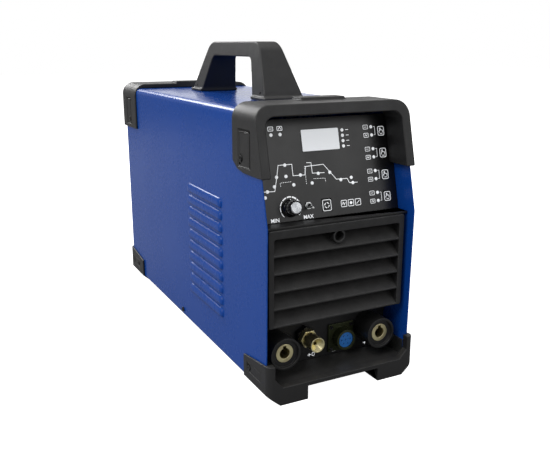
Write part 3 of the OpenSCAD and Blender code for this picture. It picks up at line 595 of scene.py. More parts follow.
def wear_group():
    """Where rounded edges are rubbed: the edge attribute, broken up."""
    tree, start, end = new_tree("Rubbed edges", "ShaderNodeTree", [
        ("Amount", "NodeSocketFloat", 0.5), ("Patch", "NodeSocketFloat", 90.0),
    ], [("Mask", "NodeSocketFloat")])
    edge = node(tree, "ShaderNodeAttribute", attribute_name="edge").outputs["Fac"]
    patchy = noise(tree, object_place(tree), start.outputs["Patch"], 4, 0.65)
    broken = step_mask(tree, patchy, 0.42, 0.68)
    rubbed = calc(tree, "MULTIPLY", edge, broken)
    mask = calc(tree, "MULTIPLY", rubbed, start.outputs["Amount"], clamp=True)
    tree.links.new(mask, end.inputs["Mask"])
    return tree


def dust_group():
    """Fine dust that settles on what faces up."""
    tree, start, end = new_tree("Settled dust", "ShaderNodeTree", [
        ("Amount", "NodeSocketFloat", 0.1),
    ], [("Mask", "NodeSocketFloat")])
    facing = node(tree, "ShaderNodeSeparateXYZ", {
        "Vector": node(tree, "ShaderNodeNewGeometry").outputs["Normal"]}).outputs["Z"]
    flat = step_mask(tree, facing, 0.2, 0.95)
    patchy = noise(tree, object_place(tree), 60.0, 6, 0.7)
    settled = calc(tree, "MULTIPLY", flat, patchy)
    mask = calc(tree, "MULTIPLY", settled, start.outputs["Amount"], clamp=True)
    tree.links.new(mask, end.inputs["Mask"])
    return tree


def turned_marks_and_highlight():
    """Concentric tool marks round local Z of the vector that comes in, crossed by two wedges of painted
    highlight.
    """
    tree, start, end = new_tree("Turned marks", "ShaderNodeTree", [
        ("Vector", "NodeSocketVector", (0, 0, 0)), ("Pitch", "NodeSocketFloat", 4000.0),
    ], [("Height", "NodeSocketFloat"), ("Tone", "NodeSocketFloat")])
    split = node(tree, "ShaderNodeSeparateXYZ", {"Vector": start.outputs["Vector"]})
    x, y = split.outputs[0], split.outputs[1]
    radius = calc(tree, "SQRT", calc(tree, "ADD", calc(tree, "MULTIPLY", x, x), calc(tree, "MULTIPLY", y, y)))
    marks = node(tree, "ShaderNodeTexNoise", {"W": calc(tree, "MULTIPLY", radius, start.outputs["Pitch"]),
                                              "Scale": 1.0, "Detail": 3.0}, noise_dimensions="1D").outputs[0]
    # painted highlight: two wedges by angle that stand in for bright streaks of light on spun metal
    highlight_swing = calc(tree, "SINE", calc(tree, "MULTIPLY_ADD", calc(tree, "ARCTAN2", y, x), 2.0, 0.6))
    highlight_wedges = calc(tree, "MULTIPLY_ADD", highlight_swing, 0.5, 0.5)
    tree.links.new(marks, end.inputs["Height"])
    tree.links.new(calc(tree, "MULTIPLY", highlight_wedges, marks), end.inputs["Tone"])
    return tree


def use_group(tree, maker, **inputs):
    return node(tree, "ShaderNodeGroup", inputs, node_tree=known_tree(maker)).outputs


def finish(name, base, second=None, rough=(0.4, 0.5), metallic=0.0, grain=1500.0, depth=0.02, patch_size=28.0,
           wear=0.0, worn_colour=None, dust=0.0, coat=0.0, centre=None, turned=0.0, specular=0.5, glow=0.0):
    """One finish: mottled colour, grain, rubbed edges, dust and, round a centre, turned marks with wedges of
    painted highlight.
    """
    known = bpy.data.materials.get(name)
    if known:
        return known
    material = bpy.data.materials.new(name)
    material.use_nodes = True
    tree = material.node_tree
    shader = tree.nodes["Principled BSDF"]
    shader.inputs["Metallic"].default_value = metallic
    shader.inputs["Coat Weight"].default_value = coat
    shader.inputs["Coat Roughness"].default_value = 0.06
    shader.inputs["Specular IOR Level"].default_value = specular
    grains = use_group(tree, grain_group, Size=grain, Patch=patch_size)
    second = second or scaled(base, 0.86)
    shade = mixed(tree, grains["Mottle"], base, second)
    roughness = between(tree, grains["Mottle"], *rough)
    height = grains["Height"]
    if centre is not None:
        spot, turn = centre
        turned_to = {"Vector": object_place(tree), "Location": spot, "Rotation": turn}
        place = node(tree, "ShaderNodeMapping", turned_to, vector_type="TEXTURE")
        rings = use_group(tree, turned_marks_and_highlight, Vector=place.outputs[0], Pitch=turned)
        # painted highlight: a lighter colour laid in the wedges across the turned marks
        shade = mixed(tree, rings["Tone"], shade, scaled(base, 1.35))
        height = calc(tree, "MULTIPLY_ADD", rings["Height"], 2.5, height)
    if wear:
        mask = use_group(tree, wear_group, Amount=wear)["Mask"]
        shade = mixed(tree, mask, shade, worn_colour or scaled(base, 2.2, 0.02))
        roughness = calc(tree, "MULTIPLY_ADD", mask, -0.15, roughness, clamp=True)
    if dust:
        mask = use_group(tree, dust_group, Amount=dust)["Mask"]
        shade = mixed(tree, mask, shade, (0.42, 0.41, 0.39))
        roughness = calc(tree, "MULTIPLY_ADD", mask, 0.3, roughness, clamp=True)
    if glow:
        # glow makes the colour shine by itself; on the white print this is painted light
        tree.links.new(shade, shader.inputs["Emission Color"])
        shader.inputs["Emission Strength"].default_value = glow
    tree.links.new(shade, shader.inputs["Base Color"])
    tree.links.new(roughness, shader.inputs["Roughness"])
    bump = node(tree, "ShaderNodeBump", {"Height": height, "Distance": depth * MM, "Strength": 1.0})
    tree.links.new(bump.outputs[0], shader.inputs["Normal"])
    return material


def shades():
    return bpy.context.scene.welder_colours


def moulded():
    return finish("Moulded plastic", tuple(shades().moulded), rough=(0.42, 0.56), grain=1900.0, depth=0.05,
                  wear=0.55, dust=0.1)


def fine_moulded():
    return finish("Fine moulded plastic", scaled(shades().moulded, 0.8), rough=(0.36, 0.48),
                  grain=3200.0, depth=0.015, wear=0.5, dust=0.05)


def gloss_black():
    return finish("Gloss black plastic", tint(12, 12, 13), rough=(0.1, 0.2), grain=900.0, depth=0.004,
                  wear=0.4, coat=0.5)


def cover_paint():
    base = tuple(shades().paint)
    return finish("Cover paint", base, second=scaled(base, 0.93), rough=(0.24, 0.3), grain=420.0,
                  depth=0.003, patch_size=9.0, wear=0.35, worn_colour=scaled(base, 1.7, 0.04),
                  coat=0.1, specular=0.15)


def black_sheet():
    return finish("Powder-coated sheet", tuple(shades().sheet), rough=(0.45, 0.6), grain=1300.0, depth=0.05,
                  wear=0.3, dust=0.08)


def zinc_plate():
    return finish("Zinc plate", tint(190, 192, 190), second=tint(150, 156, 160), rough=(0.28, 0.5),
                  metallic=1.0, grain=260.0, depth=0.004, patch_size=55.0, wear=0.3)


def foil():
    return finish("Panel foil", tuple(shades().foil), rough=(0.3, 0.38), grain=2600.0, depth=0.008, dust=0.03)


def ink():
    # glow=0.8 is painted light: the print shines by itself though it is no lamp, to look brightly lit
    return finish("White print", tuple(shades().ink), second=tint(206, 208, 211), rough=(0.45, 0.55),
                  grain=3000.0, depth=0.003, glow=0.8)


def display_glass():
    return finish("Display window", tuple(shades().window), second=tint(206, 209, 213), rough=(0.08, 0.14),
                  grain=500.0, depth=0.001, coat=0.4, glow=0.55)


def lamp_lens():
    return finish("Lamp lens", tint(236, 238, 240), second=tint(214, 218, 222), rough=(0.16, 0.26),
                  grain=1200.0, depth=0.003, coat=0.3, glow=0.6)


def key_rubber():
    return finish("Key plastic", tint(17, 17, 19), rough=(0.4, 0.5), grain=2600.0, depth=0.02, wear=0.5)


def spun_aluminium():
    spot = on_panel(*knob_spot())
    turn = spot.to_euler()
    # turned marks round the knob's centre, crossed by wedges of painted highlight
    return finish("Spun aluminium", tint(176, 178, 181), second=tint(146, 149, 154), rough=(0.2, 0.32),
                  metallic=1.0, grain=2400.0, depth=0.012, wear=0.3,
                  centre=(spot.translation * MM, turn), turned=9000.0)


def steel():
    return finish("Bright steel", tint(205, 206, 206), second=tint(168, 170, 172), rough=(0.16, 0.3),
                  metallic=1.0, grain=1500.0, depth=0.004, wear=0.3)


def black_oxide():
    return finish("Black oxide", tint(26, 26, 28), second=tint(44, 44, 46), rough=(0.34, 0.46), metallic=0.6,
                  grain=1800.0, depth=0.01, wear=0.6, worn_colour=tint(120, 120, 122))


def brass(side=0):
    """Turned brass, with wedges of painted highlight. The side picks the fitting that its tool marks and
    highlight wedges go round.
    """
    base = tuple(shades().brass)
    low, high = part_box({-1: "output_socket_left", 1: "output_socket_right", 0: "torch_gas_connector"}[side])
    centre = ((low.x + high.x) / 2, low.y, (low.z + high.z) / 2)
    name = {-1: "Turned brass left", 1: "Turned brass right", 0: "Turned brass"}[side]
    return finish(name, base, second=scaled(base, 0.78), rough=(0.28, 0.42), metallic=1.0, grain=900.0,
                  depth=0.008, patch_size=160.0, wear=0.5, worn_colour=tint(238, 222, 180),
                  centre=(centre, (math.pi / 2, 0, 0)), turned=6000.0)


def olive_alloy():
    return finish("Olive alloy", tint(66, 72, 46), second=tint(52, 58, 36), rough=(0.34, 0.48), metallic=0.55,
                  grain=1400.0, depth=0.012, wear=0.5, worn_colour=tint(128, 128, 104))


def blue_insert():
    return finish("Blue insert", tuple(shades().insert), rough=(0.35, 0.45), grain=1600.0, depth=0.01,
                  wear=0.3)


def red_rocker():
    return finish("Red rocker", tuple(shades().rocker), rough=(0.22, 0.32), grain=1200.0, depth=0.006,
                  wear=0.4, coat=0.3)


def circuit_board():
    return finish("Circuit board", tint(22, 78, 42), second=tint(14, 58, 30), rough=(0.3, 0.5), grain=700.0,
                  depth=0.03, patch_size=220.0)


def heatsink():
    return finish("Extruded aluminium", tint(176, 178, 180), second=tint(150, 152, 156), rough=(0.34, 0.5),
                  metallic=1.0, grain=1100.0, depth=0.01)


def winding():
    return finish("Enamelled winding", tint(172, 92, 44), second=tint(120, 58, 28), rough=(0.25, 0.4),
                  metallic=0.7, grain=600.0, depth=0.2)


def can_sleeve():
    return finish("Capacitor sleeve", tint(24, 34, 74), second=tint(18, 26, 58), rough=(0.2, 0.3),
                  grain=900.0, depth=0.004)


def copper():
    return finish("Copper", tint(196, 120, 84), second=tint(150, 84, 58), rough=(0.25, 0.42), metallic=1.0,
                  grain=900.0, depth=0.006)


def hose_rubber():
    return finish("Hose rubber", tint(18, 18, 19), rough=(0.5, 0.65), grain=1400.0, depth=0.03)


# ---------------------------------------------------------------- pieces

def piece(name, parts, body="case", slot="black_plastic", stands_for=(), smooth=40.0, thicken=0.0,
          flat_walls=False):
    """Joins (shape, finish) pairs to one object in the frame that rides on a body."""
    whole, slots, indices = Shape(), [], []
    for shape, material in parts:
        if material not in slots:
            slots.append(material)
        indices += [slots.index(material)] * len(shape.faces)
        whole = whole + shape
    thing = bpy.data.objects.new(name, whole.mesh(MM))
    bpy.context.scene.collection.objects.link(thing)
    for material in slots:
        thing.data.materials.append(material)
    thing.data.polygons.foreach_set("material_index", indices)
    return settle(thing, body, stands_for, smooth, thicken, flat_walls)


def settle(thing, body, stands_for, smooth=40.0, thicken=0.0, flat_walls=False):
    """Merges doubles, evens the shading and ties the piece to the frame."""
    bm = bmesh.new()
    bm.from_mesh(thing.data)
    bmesh.ops.remove_doubles(bm, verts=bm.verts, dist=TOUCHING)
    bmesh.ops.dissolve_degenerate(bm, edges=bm.edges, dist=1e-7)
    bm.to_mesh(thing.data)
    bm.free()
    if thicken:
        wall = thing.modifiers.new("wall", "SOLIDIFY")
        wall.thickness, wall.offset, wall.use_even_offset = thicken * MM, -1.0, False
    thing.data.polygons.foreach_set("use_smooth", [not (flat_walls and abs(p.normal.x) > 0.999999)
                                                   for p in thing.data.polygons])
    thing.data.set_sharp_from_angle(angle=math.radians(smooth))
    if not flat_walls:
        even = thing.modifiers.new("even", "WEIGHTED_NORMAL")
        even.keep_sharp = True
    mesh = evaluated(thing)
    thing.modifiers.clear()
    thing.data = mesh
    mesh.name = thing.name
    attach(thing, body)
    if stands_for:
        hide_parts(*stands_for)
    return thing


def by_the_sheet(edge):
    """True for an edge on a wall of the slot that takes the cover sheet."""
    for vert in edge.verts:
        across = abs(vert.co.x) / MM - HALF_WIDTH + BEND_RADIUS
        rise = vert.co.z / MM - COVER_TOP + BEND_RADIUS
        depth = (math.hypot(across, rise) if min(across, rise) > 0 else max(across, rise)) - BEND_RADIUS
        if not -2.4 < depth < 0.8:
            return False
    return True


def rounded(name, source, width, material, body="case", segments=2, angle=38.0,
            smooth=42.0, skip=None):
    """A copy of a CAD node with rounded edges that stands for it."""
    mesh = frame["nodes"][source].data.copy()
    bm = bmesh.new()
    bm.from_mesh(mesh)
    bmesh.ops.remove_doubles(bm, verts=bm.verts, dist=TOUCHING)
    bmesh.ops.dissolve_limit(bm, angle_limit=math.radians(0.6), verts=bm.verts, edges=bm.edges)
    sharp = [e for e in bm.edges if len(e.link_faces) == 2 and e.calc_face_angle(0) > math.radians(angle)
             and not (skip and skip(e))]
    made = bmesh.ops.bevel(bm, geom=sharp, offset=width * MM, offset_type="OFFSET", segments=segments,
                           profile=0.5, affect="EDGES", clamp_overlap=False)
    low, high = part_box(source)
    for vert in bm.verts:
        vert.co = [min(max(value, least), most) for value, least, most in zip(vert.co, low, high)]
    band, layer = set(made["faces"]), bm.verts.layers.float.new("edge")
    for vert in made["verts"]:
        if vert.is_valid:
            vert[layer] = 1.0 if all(f in band for f in vert.link_faces) else 0.35
    bm.to_mesh(mesh)
    bm.free()
    mesh.materials.clear()
    mesh.materials.append(material)
    mesh.polygons.foreach_set("material_index", [0] * len(mesh.polygons))
    thing = bpy.data.objects.new(name, mesh)
    bpy.context.scene.collection.objects.link(thing)
    return settle(thing, body, (source,), smooth)


def repaint(material, *names):
    """Gives CAD nodes that stay their finish."""
    for name in names:
        mesh = frame["nodes"][name].data
        if not mesh.materials:
            mesh.materials.append(material)
        for index in range(len(mesh.materials)):
            frame["nodes"][name].material_slots[index].link = "OBJECT"
            frame["nodes"][name].material_slots[index].material = material


def middle(name):
    low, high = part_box(name)
    return (low + high) / 2 / MM


def panel_place(point):
    """Across and up the slope of the control panel, for a point in millimetres."""
    local = on_panel().inverted() @ Vector(point)
    return local.x, local.y


def knob_spot():
    return panel_place(middle("knob_cap"))


# ---------------------------------------------------------------- the cover and its louvres

HOOD_LENGTH = 118.0
HOOD_HEIGHT = 11.0
HOOD_STRIP = 2.6
HOOD_TOP = 221.5
HOOD_FRONT = -146.0
HOOD_ROUND = 7.0
HOOD_ROWS = (0, 0.25, 0.7, 1.4, 2.3, 3.4, 4.6, 5.8, 7.0, 9.0)
HOOD_ENDS = (-2.0, 0.0, 0.25, 0.7, 1.4, 2.3, 3.4, 4.6, 5.8, 7.0)


def swell(down, along):
    """How far a hood has risen, from 0 to 1, so far under its top and so far from its nearer end."""
    if down < HOOD_ROUND and along < HOOD_ROUND:
        inside = HOOD_ROUND - math.hypot(HOOD_ROUND - down, HOOD_ROUND - along)
    else:
        inside = min(down, along)
    t = 1 - min(1.0, max(0.0, inside / HOOD_ROUND))
    return math.sqrt(max(0.0, 1 - t ** 2.2))


def hood_columns():
    ends = [HOOD_FRONT + e for e in HOOD_ENDS]
    middle_line = [HOOD_FRONT + HOOD_LENGTH * k / 6 for k in range(1, 6)]
    return ends + middle_line + [2 * HOOD_FRONT + HOOD_LENGTH - y for y in reversed(ends)]


def hood(side, half_width):
    """One pressed hood and the strip of sheet under it, with its slit open."""
    columns, rise, pitch = hood_columns(), millimetres("louvre_rise"), millimetres("louvre_pitch")
    points, faces, rows = [], [], []

    def add_row(offset, out):
        row = []
        for y in columns:
            reach = max(0.0, min(y - HOOD_FRONT, HOOD_FRONT + HOOD_LENGTH - y))
            row.append(len(points))
            points.append((side * (half_width + out * swell(offset, reach)), y, HOOD_TOP - offset))
        rows.append(row)

    for offset in (*HOOD_ROWS, HOOD_HEIGHT):
        add_row(offset, rise)
    lip = rows[-1]
    add_row(HOOD_HEIGHT, 0.0)
    for i in range(len(columns)):
        if points[lip[i]][0] == points[rows[-1][i]][0]:
            rows[-1][i] = lip[i]
    add_row(HOOD_HEIGHT + HOOD_STRIP, 0.0)
    add_row(pitch, 0.0)
    for above, below in zip(rows, rows[1:]):
        if above is lip:
            continue
        for k in range(len(columns) - 1):
            quad = (above[k], below[k], below[k + 1], above[k + 1])
            faces.append(quad if side > 0 else quad[::-1])
    shape = Shape(points, faces)
    for index in lip[2:-2]:
        shape.worn[index] = 0.8
    return shape


class WELDER_OT_cover(bpy.types.Operator):
    """Painted sheet cover with its two long bends and the louvres pressed out of it"""
    bl_idname = "welder.cover"
    bl_label = "Cover"

    def execute(self, context):
        low, high = (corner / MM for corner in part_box("cover_shell"))
        half, bend = HALF_WIDTH, BEND_RADIUS
        count, pitch = sizes().louvre_count, millimetres("louvre_pitch")
        knee, edge_y, rear_y = KNEE, low.y, high.y
        offsets = (*HOOD_ROWS, HOOD_HEIGHT, HOOD_HEIGHT + HOOD_STRIP)
        strip = [HOOD_TOP - pitch * i - offset for i in range(count) for offset in offsets]
        strip.append(HOOD_TOP - pitch * count)
        side = [low.z, low.z + 1.5, 36.0] + sorted(strip) + [232.0, 262.0, 290.0, 318.0]
        section = [(half, z) for z in side]
        section += [(half - bend + bend * math.cos(a), high.z - bend + bend * math.sin(a))
                    for a in (math.pi / 2 * k / 8 for k in range(9))]
        section += [(x, high.z) for x in (60, 20)]
        section += [(-x, z) for x, z in reversed(section)]
        hood_y = hood_columns()

        def columns(z):
            lean = (z - knee) * math.tan(SLOPE) if z > knee else 4 * (knee - z) / knee
            front = edge_y + lean
            return ([front, front + 1.0, front + 14, (front + hood_y[0]) / 2] + hood_y
                    + [40, 120, 200, rear_y - 1.0, rear_y])

        points, faces, worn = [], [], []
        for x, z in section:
            for y in columns(z):
                points.append((x, y, z))
                worn.append(1.0 if y in (columns(z)[0], rear_y) or z == low.z else 0.0)
        wide = len(columns(0))
        first, last = 4, 4 + len(hood_y) - 1
        bottom, top = HOOD_TOP - pitch * count, HOOD_TOP
        for i, ((xa, za), (xb, zb)) in enumerate(zip(section, section[1:])):
            on_side = abs(xa) == half and abs(xb) == half
            in_strip = on_side and min(za, zb) >= bottom - 1e-4 and max(za, zb) <= top + 1e-4
            for k in range(wide - 1):
                if in_strip and first <= k < last:
                    continue
                a = i * wide + k
                faces.append((a, a + 1, a + wide + 1, a + wide))
        paint = cover_paint()
        sheet = Shape(points, faces, worn)
        for sign in (-1, 1):
            sheet = sheet + grown(row_tree, hood(sign, half), paint, Count=count, Step=(0, 0, -pitch))
        piece("sheet_cover", [(sheet, paint)], slot="blue_paint", stands_for=("cover_shell",), smooth=50,
              thicken=SHEET, flat_walls=True)
        return {"FINISHED"}


# ---------------------------------------------------------------- guards, handle and screws

class WELDER_OT_guards(bpy.types.Operator):
    """Four moulded guards round the corners of the case"""
    bl_idname = "welder.guards"
    bl_label = "Guards"

    def execute(self, context):
        edge = millimetres("guard_edge")
        for name in ("top_front_guard", "top_rear_guard", "bottom_front_guard", "bottom_rear_guard"):
            top = "top" in name
            rounded(name + "_moulding", name, edge if top else edge * 0.5, moulded(), segments=3,
                    skip=by_the_sheet if top else None)
        return {"FINISHED"}


class WELDER_OT_handle(bpy.types.Operator):
    """Carrying handle with its end caps"""
    bl_idname = "welder.handle"
    bl_label = "Handle"

    def execute(self, context):
        foot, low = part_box("handle_screws"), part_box("handle")[0]
        holes = (foot[0].y + HOLE_INSET * MM, foot[1].y - HOLE_INSET * MM)

        def by_a_hole(edge):
            for vert in edge.verts:
                off = min(abs(vert.co.y - y) for y in holes)
                if math.hypot(off, vert.co.z - low.z - HOLE_HEIGHT * MM) > HOLE_REACH * MM:
                    return False
            return True

        rounded("handle_moulding", "handle", 1.8, moulded(), segments=3, angle=30, skip=by_a_hole)
        rounded("handle_caps", "handle_end_caps", 1.2, fine_moulded(), segments=3)
        return {"FINISHED"}


def cross_head(radius, height):
    """Pan head with a cross recess, standing on z = 0."""
    arm, wide = radius * 0.58, radius * 0.15
    cross = [(-wide, -arm), (wide, -arm), (wide, -wide), (arm, -wide), (arm, wide), (wide, wide),
             (wide, arm), (-wide, arm), (-wide, wide), (-arm, wide), (-arm, -wide), (-wide, -wide)]
    upper = prism(circle(radius, 28), height * 0.6, soft=height * 0.42, holes=(cross,), steps=3)
    lower = prism(circle(radius * 0.97, 28), height * 0.5, soft=0.05, steps=1)
    return lower + upper.placed(up(0, 0, height * 0.4))


class WELDER_OT_screws(bpy.types.Operator):
    """Cross-head screws of the guards, the cover, the grille, the remote socket and the fan"""
    bl_idname = "welder.screws"
    bl_label = "Screws"

    def execute(self, context):
        black, bright = black_oxide(), zinc_plate()
        for name, head in (("guard_screws", 1.85), ("cover_screws", 2.15)):
            spots, turns = [], []
            for low, high in islands(name):
                side = 1 if high.x > 0 else -1
                outer = high.x if side > 0 else low.x
                spots.append((outer - side * head, (low.y + high.y) / 2, (low.z + high.z) / 2))
                turns.append((0, side * math.pi / 2, 0))
            shape = at_spots(cross_head(3.6, head).placed(Matrix.Rotation(0.3, 4, "Z")), black, spots, turns)
            piece(name + "_heads", [(shape, black)], slot="screw_black", stands_for=(name,))
        for name, radius, material, slot, front in (
                ("remote_socket_screws", 2.4, black, "screw_black", True),
                ("grille_screw", 4.2, black, "screw_black", True),
                ("fan_screws", 3.6, bright, "zinc_plate", False)):
            head = 1.55 if radius < 3 else 2.0
            turn = (math.pi / 2, 0, 0) if front else (-math.pi / 2, 0, 0)
            spots = [((low.x + high.x) / 2, low.y + head if front else high.y - head, (low.z + high.z) / 2)
                     for low, high in islands(name)]
            shape = at_spots(cross_head(radius, head), material, spots, turn)
            piece(name + "_heads", [(shape, material)], slot=slot, stands_for=(name,))
        repaint(bright, "handle_screws")
        return {"FINISHED"}


# ---------------------------------------------------------------- the front grille

class WELDER_OT_grille(bpy.types.Operator):
    """Moulded grille with its sloping slats and screw boss"""
    bl_idname = "welder.grille"
    bl_label = "Grille"

    def execute(self, context):
        low, high = (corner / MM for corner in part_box("front_grille"))
        plastic, half = moulded(), high.x
        face, back = low.y + 1.5, high.y - 2.4
        inner, ceiling, pitch = half - 7, high.z - 10.3, millimetres("slat_pitch")
        rim = [(-half, low.z), (-inner, low.z), (-inner, ceiling), (inner, ceiling), (inner, low.z),
               (half, low.z), (half, high.z), (-half, high.z)]
        parts = prism(softened(rim, 3.0), back - face, soft=0.9, steps=3).placed(to_front(0, back, 0))
        drop = ceiling - pitch
        slat = [(face + 20, ceiling - 3), (face + 0.5, drop + 2.2), (face + 0.5, drop), (face + 3, drop),
                (face + 23, ceiling - 5.5), (face + 23, ceiling - 3)]
        one = prism(softened(slat, 0.9, steps=3), 2 * inner + 4, soft=0.2, steps=1)
        one = one.placed(along_width(-inner - 2))
        slats = grown(row_tree, one, plastic, Count=sizes().slat_count, Step=(0, 0, -pitch))
        boss = lathe([(6.0, 0), (8.0, 0), (8.0, 39.1), (6.0, 39.1)], 0.5, closed=True)
        floor = lathe([(0, 9), (6.2, 9), (6.2, 11.0), (0, 11.0)], 0.1)
        seat = (boss + floor).placed(to_front(0, high.y, GRILLE_SCREW_HEIGHT))
        piece("grille_moulding", [(parts + slats + seat, plastic)], slot="black_plastic",
              stands_for=("front_grille",))
        return {"FINISHED"}


# ---------------------------------------------------------------- the control panel and its print

def hand_icon(x, y, size):
    """A pointing hand, drawn in lines."""
    line = [(-0.45, -0.5), (-0.5, -0.15), (-0.3, 0.0), (-0.3, 0.5), (-0.12, 0.55), (-0.06, 0.1), (0.12, 0.14),
            (0.3, 0.06), (0.45, -0.02), (0.42, -0.5)]
    hand = ribbon([(x + a * size, y + b * size) for a, b in line], size * 0.13)
    return hand + ribbon([(x + a * size, y + b * size) for a, b in ((-0.3, -0.7), (0.36, -0.7))], size * 0.13)


def loop_icon(x, y, size):
    """Four arrows that chase each other round a ring."""
    result = Shape()
    for k in range(4):
        start = math.pi / 2 * k + 0.35
        arc = [(x + size * math.cos(start + t * 0.85), y + size * math.sin(start + t * 0.85)) for t in
               (0, 0.25, 0.5, 0.75, 1.0)]
        tip = start + 1.25
        head = [(x + size * 1.32 * math.cos(start + 0.85), y + size * 1.32 * math.sin(start + 0.85)),
                (x + size * 0.68 * math.cos(start + 0.85), y + size * 0.68 * math.sin(start + 0.85)),
                (x + size * math.cos(tip), y + size * math.sin(tip))]
        result = result + ribbon(arc, size * 0.24) + patch(head)
    return result


CYCLE = [(-84.3, 36.7), (-70.6, 36.2), (-66.2, 52), (-63, 65.4), (-45.2, 65.3), (-45.1, 52.1), (-29.4, 51.7),
         (-27.5, 61.4), (-3.2, 62.1), (12.6, 43.1), (27.8, 42.8), (30.3, 37.4), (41.9, 37)]
PULSE = [(-25.9, 65.7), (-19.7, 65.3), (-19.3, 52.9), (-2.9, 52.3)]
DASHES = [((-62.6, 44.8), (-62.4, 39.8)), ((-61.5, 45.1), (-47.4, 45.4)), ((-28.6, 62), (-28.6, 40)),
          ((-18.4, 46.4), (-2.9, 45.7)), ((-2.9, 45.7), (-2.5, 40.9))]


def panel_print():
    """All print on the panel foil, in its local frame."""
    width = millimetres("print_line")
    art = ribbon(CYCLE, width) + ribbon(PULSE, width)
    for a, b in DASHES:
        start, run = Vector(a), Vector(b) - Vector(a)
        count = max(2, round(run.length / 2.2))
        for k in range(count):
            art = art + ribbon([start + run * (k / count), start + run * ((k + 0.55) / count)], width * 0.8)
    x, y = knob_spot()
    spans = 9
    for k in range(spans):
        start = math.radians(-135 - 270 * k / spans)
        angles = [start - math.radians(270 / spans - 5) * t for t in (0, 0.33, 0.66, 1)]
        thick = 0.7 + 1.7 * k / (spans - 1)
        art = art + ribbon([(x + 13.1 * math.cos(a), y + 13.1 * math.sin(a)) for a in angles], thick)
    art = art + lettering("MIN", 6.2, -74.1, 2.8) + lettering("MAX", 6.2, -30.5, 2.8)
    for x in (19.6, 29.6, 39.6):
        art = art + ribbon(box_outline(7.6, 7.6, 1.2, x, 13.3), width, closed=True)
    art = art + ribbon([(17.2, 12.2), (18.6, 15.0), (20.0, 11.8), (21.6, 14.6)], width)
    art = art + patch(circle(1.8, 16, 29.6, 13.3)) + ribbon([(37.4, 11.4), (41.8, 15.2)], width)
    for x in (-67.8, -56.1):
        art = art + ribbon(box_outline(6.4, 4.6, 0.8, x, 107.2), width * 0.9, closed=True)
    for line in ([(-69.6, 107.2), (-66.0, 107.2)], [(-58, 105.9), (-56, 108.6), (-54.2, 105.9)]):
        art = art + ribbon(line, width)
    for k in range(4):
        art = art + ribbon([(32.2, 101 - 6.4 * k), (36.2, 101 - 6.4 * k)], width)
        centre = 97.6 - 26.9 * k
        for d in (5, -5):
            art = art + ribbon(box_outline(6.6, 4.8, 0.8, 61.2, centre + d), width * 0.8, closed=True)
        for share, line in (
                (0.8, [(59.4, 5), (63, 5)]),
                (0.8, [(59.2, -5.8), (60.6, -4.2), (61.8, -5.8), (63.2, -4.2)]),
                (0.7, [(72.6, 5), (74.6, 5), (74.6, -5), (72.6, -5)])):
            art = art + ribbon([(x, centre + y) for x, y in line], width * share)
    return art


class WELDER_OT_panel(bpy.types.Operator):
    """Control panel: bezel, foil, print, display window and lamps"""
    bl_idname = "welder.panel"
    bl_label = "Control panel"

    def execute(self, context):
        rounded("bezel_moulding", "control_bezel", 0.5, fine_moulded())
        repaint(foil(), "control_overlay")
        piece("panel_print", [(panel_print().placed(on_panel(height=-0.02)), ink())], slot="lamp_white",
              smooth=30)
        x, y = panel_place(middle("display_window"))
        glass = prism(box_outline(51, 25.4, 1.4), 1.5, soft=0.25)
        rim = prism(box_outline(52.6, 27, 2.0), 0.35, soft=0.12, holes=(box_outline(51.1, 25.5, 1.3),))
        piece("display_glass", [(glass.placed(on_panel(x, y, -1.45)), display_glass())], slot="window_grey",
              stands_for=("display_window",))
        piece("display_rim", [(rim.placed(on_panel(x, y, -0.02)), fine_moulded())])
        lens = lamp_lens()
        spots = [panel_place((low + high) / 2) for low, high in islands("status_leds")]
        dome = lathe([(0, 0), (2.05, 0), (2.05, 0.35), (1.75, 0.85), (1.0, 1.2), (0, 1.3)], 0.25, turns=20)
        lamps = at_spots(dome, lens, [(x, y, 0) for x, y in spots], (0, 0, 0)).placed(on_panel(height=-0.3))
        piece("status_lamps", [(lamps, lens)], slot="lamp_white", stands_for=("status_leds",))
        repaint(fine_moulded(), "display_module")
        repaint(circuit_board(), "control_board")
        return {"FINISHED"}


class WELDER_OT_keys(bpy.types.Operator):
    """Menu key and the four mode keys with their icons"""
    bl_idname = "welder.keys"
    bl_label = "Keys"

    def execute(self, context):
        width = millimetres("print_line")
        for name in ("menu_button", "mode_button_1", "mode_button_2", "mode_button_3", "mode_button_4"):
            menu = name == "menu_button"
            low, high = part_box(name)
            size = (13.4, 15.0) if menu else (11.0, 13.0)
            x, y = panel_place((low + high) / 2 / MM)
            cap = prism(box_outline(*size, 2.2), 4.1, soft=0.4, steps=3).placed(on_panel(x, y, -3.6))
            mark = ribbon(box_outline(size[0] - 2.2, size[1] - 2.2, 2.0), width, closed=True)
            mark = mark + (loop_icon(0, 0, 3.0) if menu else hand_icon(0.2, 0.5, 5.4))
            piece(name + "_cap", [(cap, key_rubber()), (mark.placed(on_panel(x, y, 0.46)), ink())],
                  body=name, slot="black_plastic", stands_for=(name,), smooth=45)
        return {"FINISHED"}


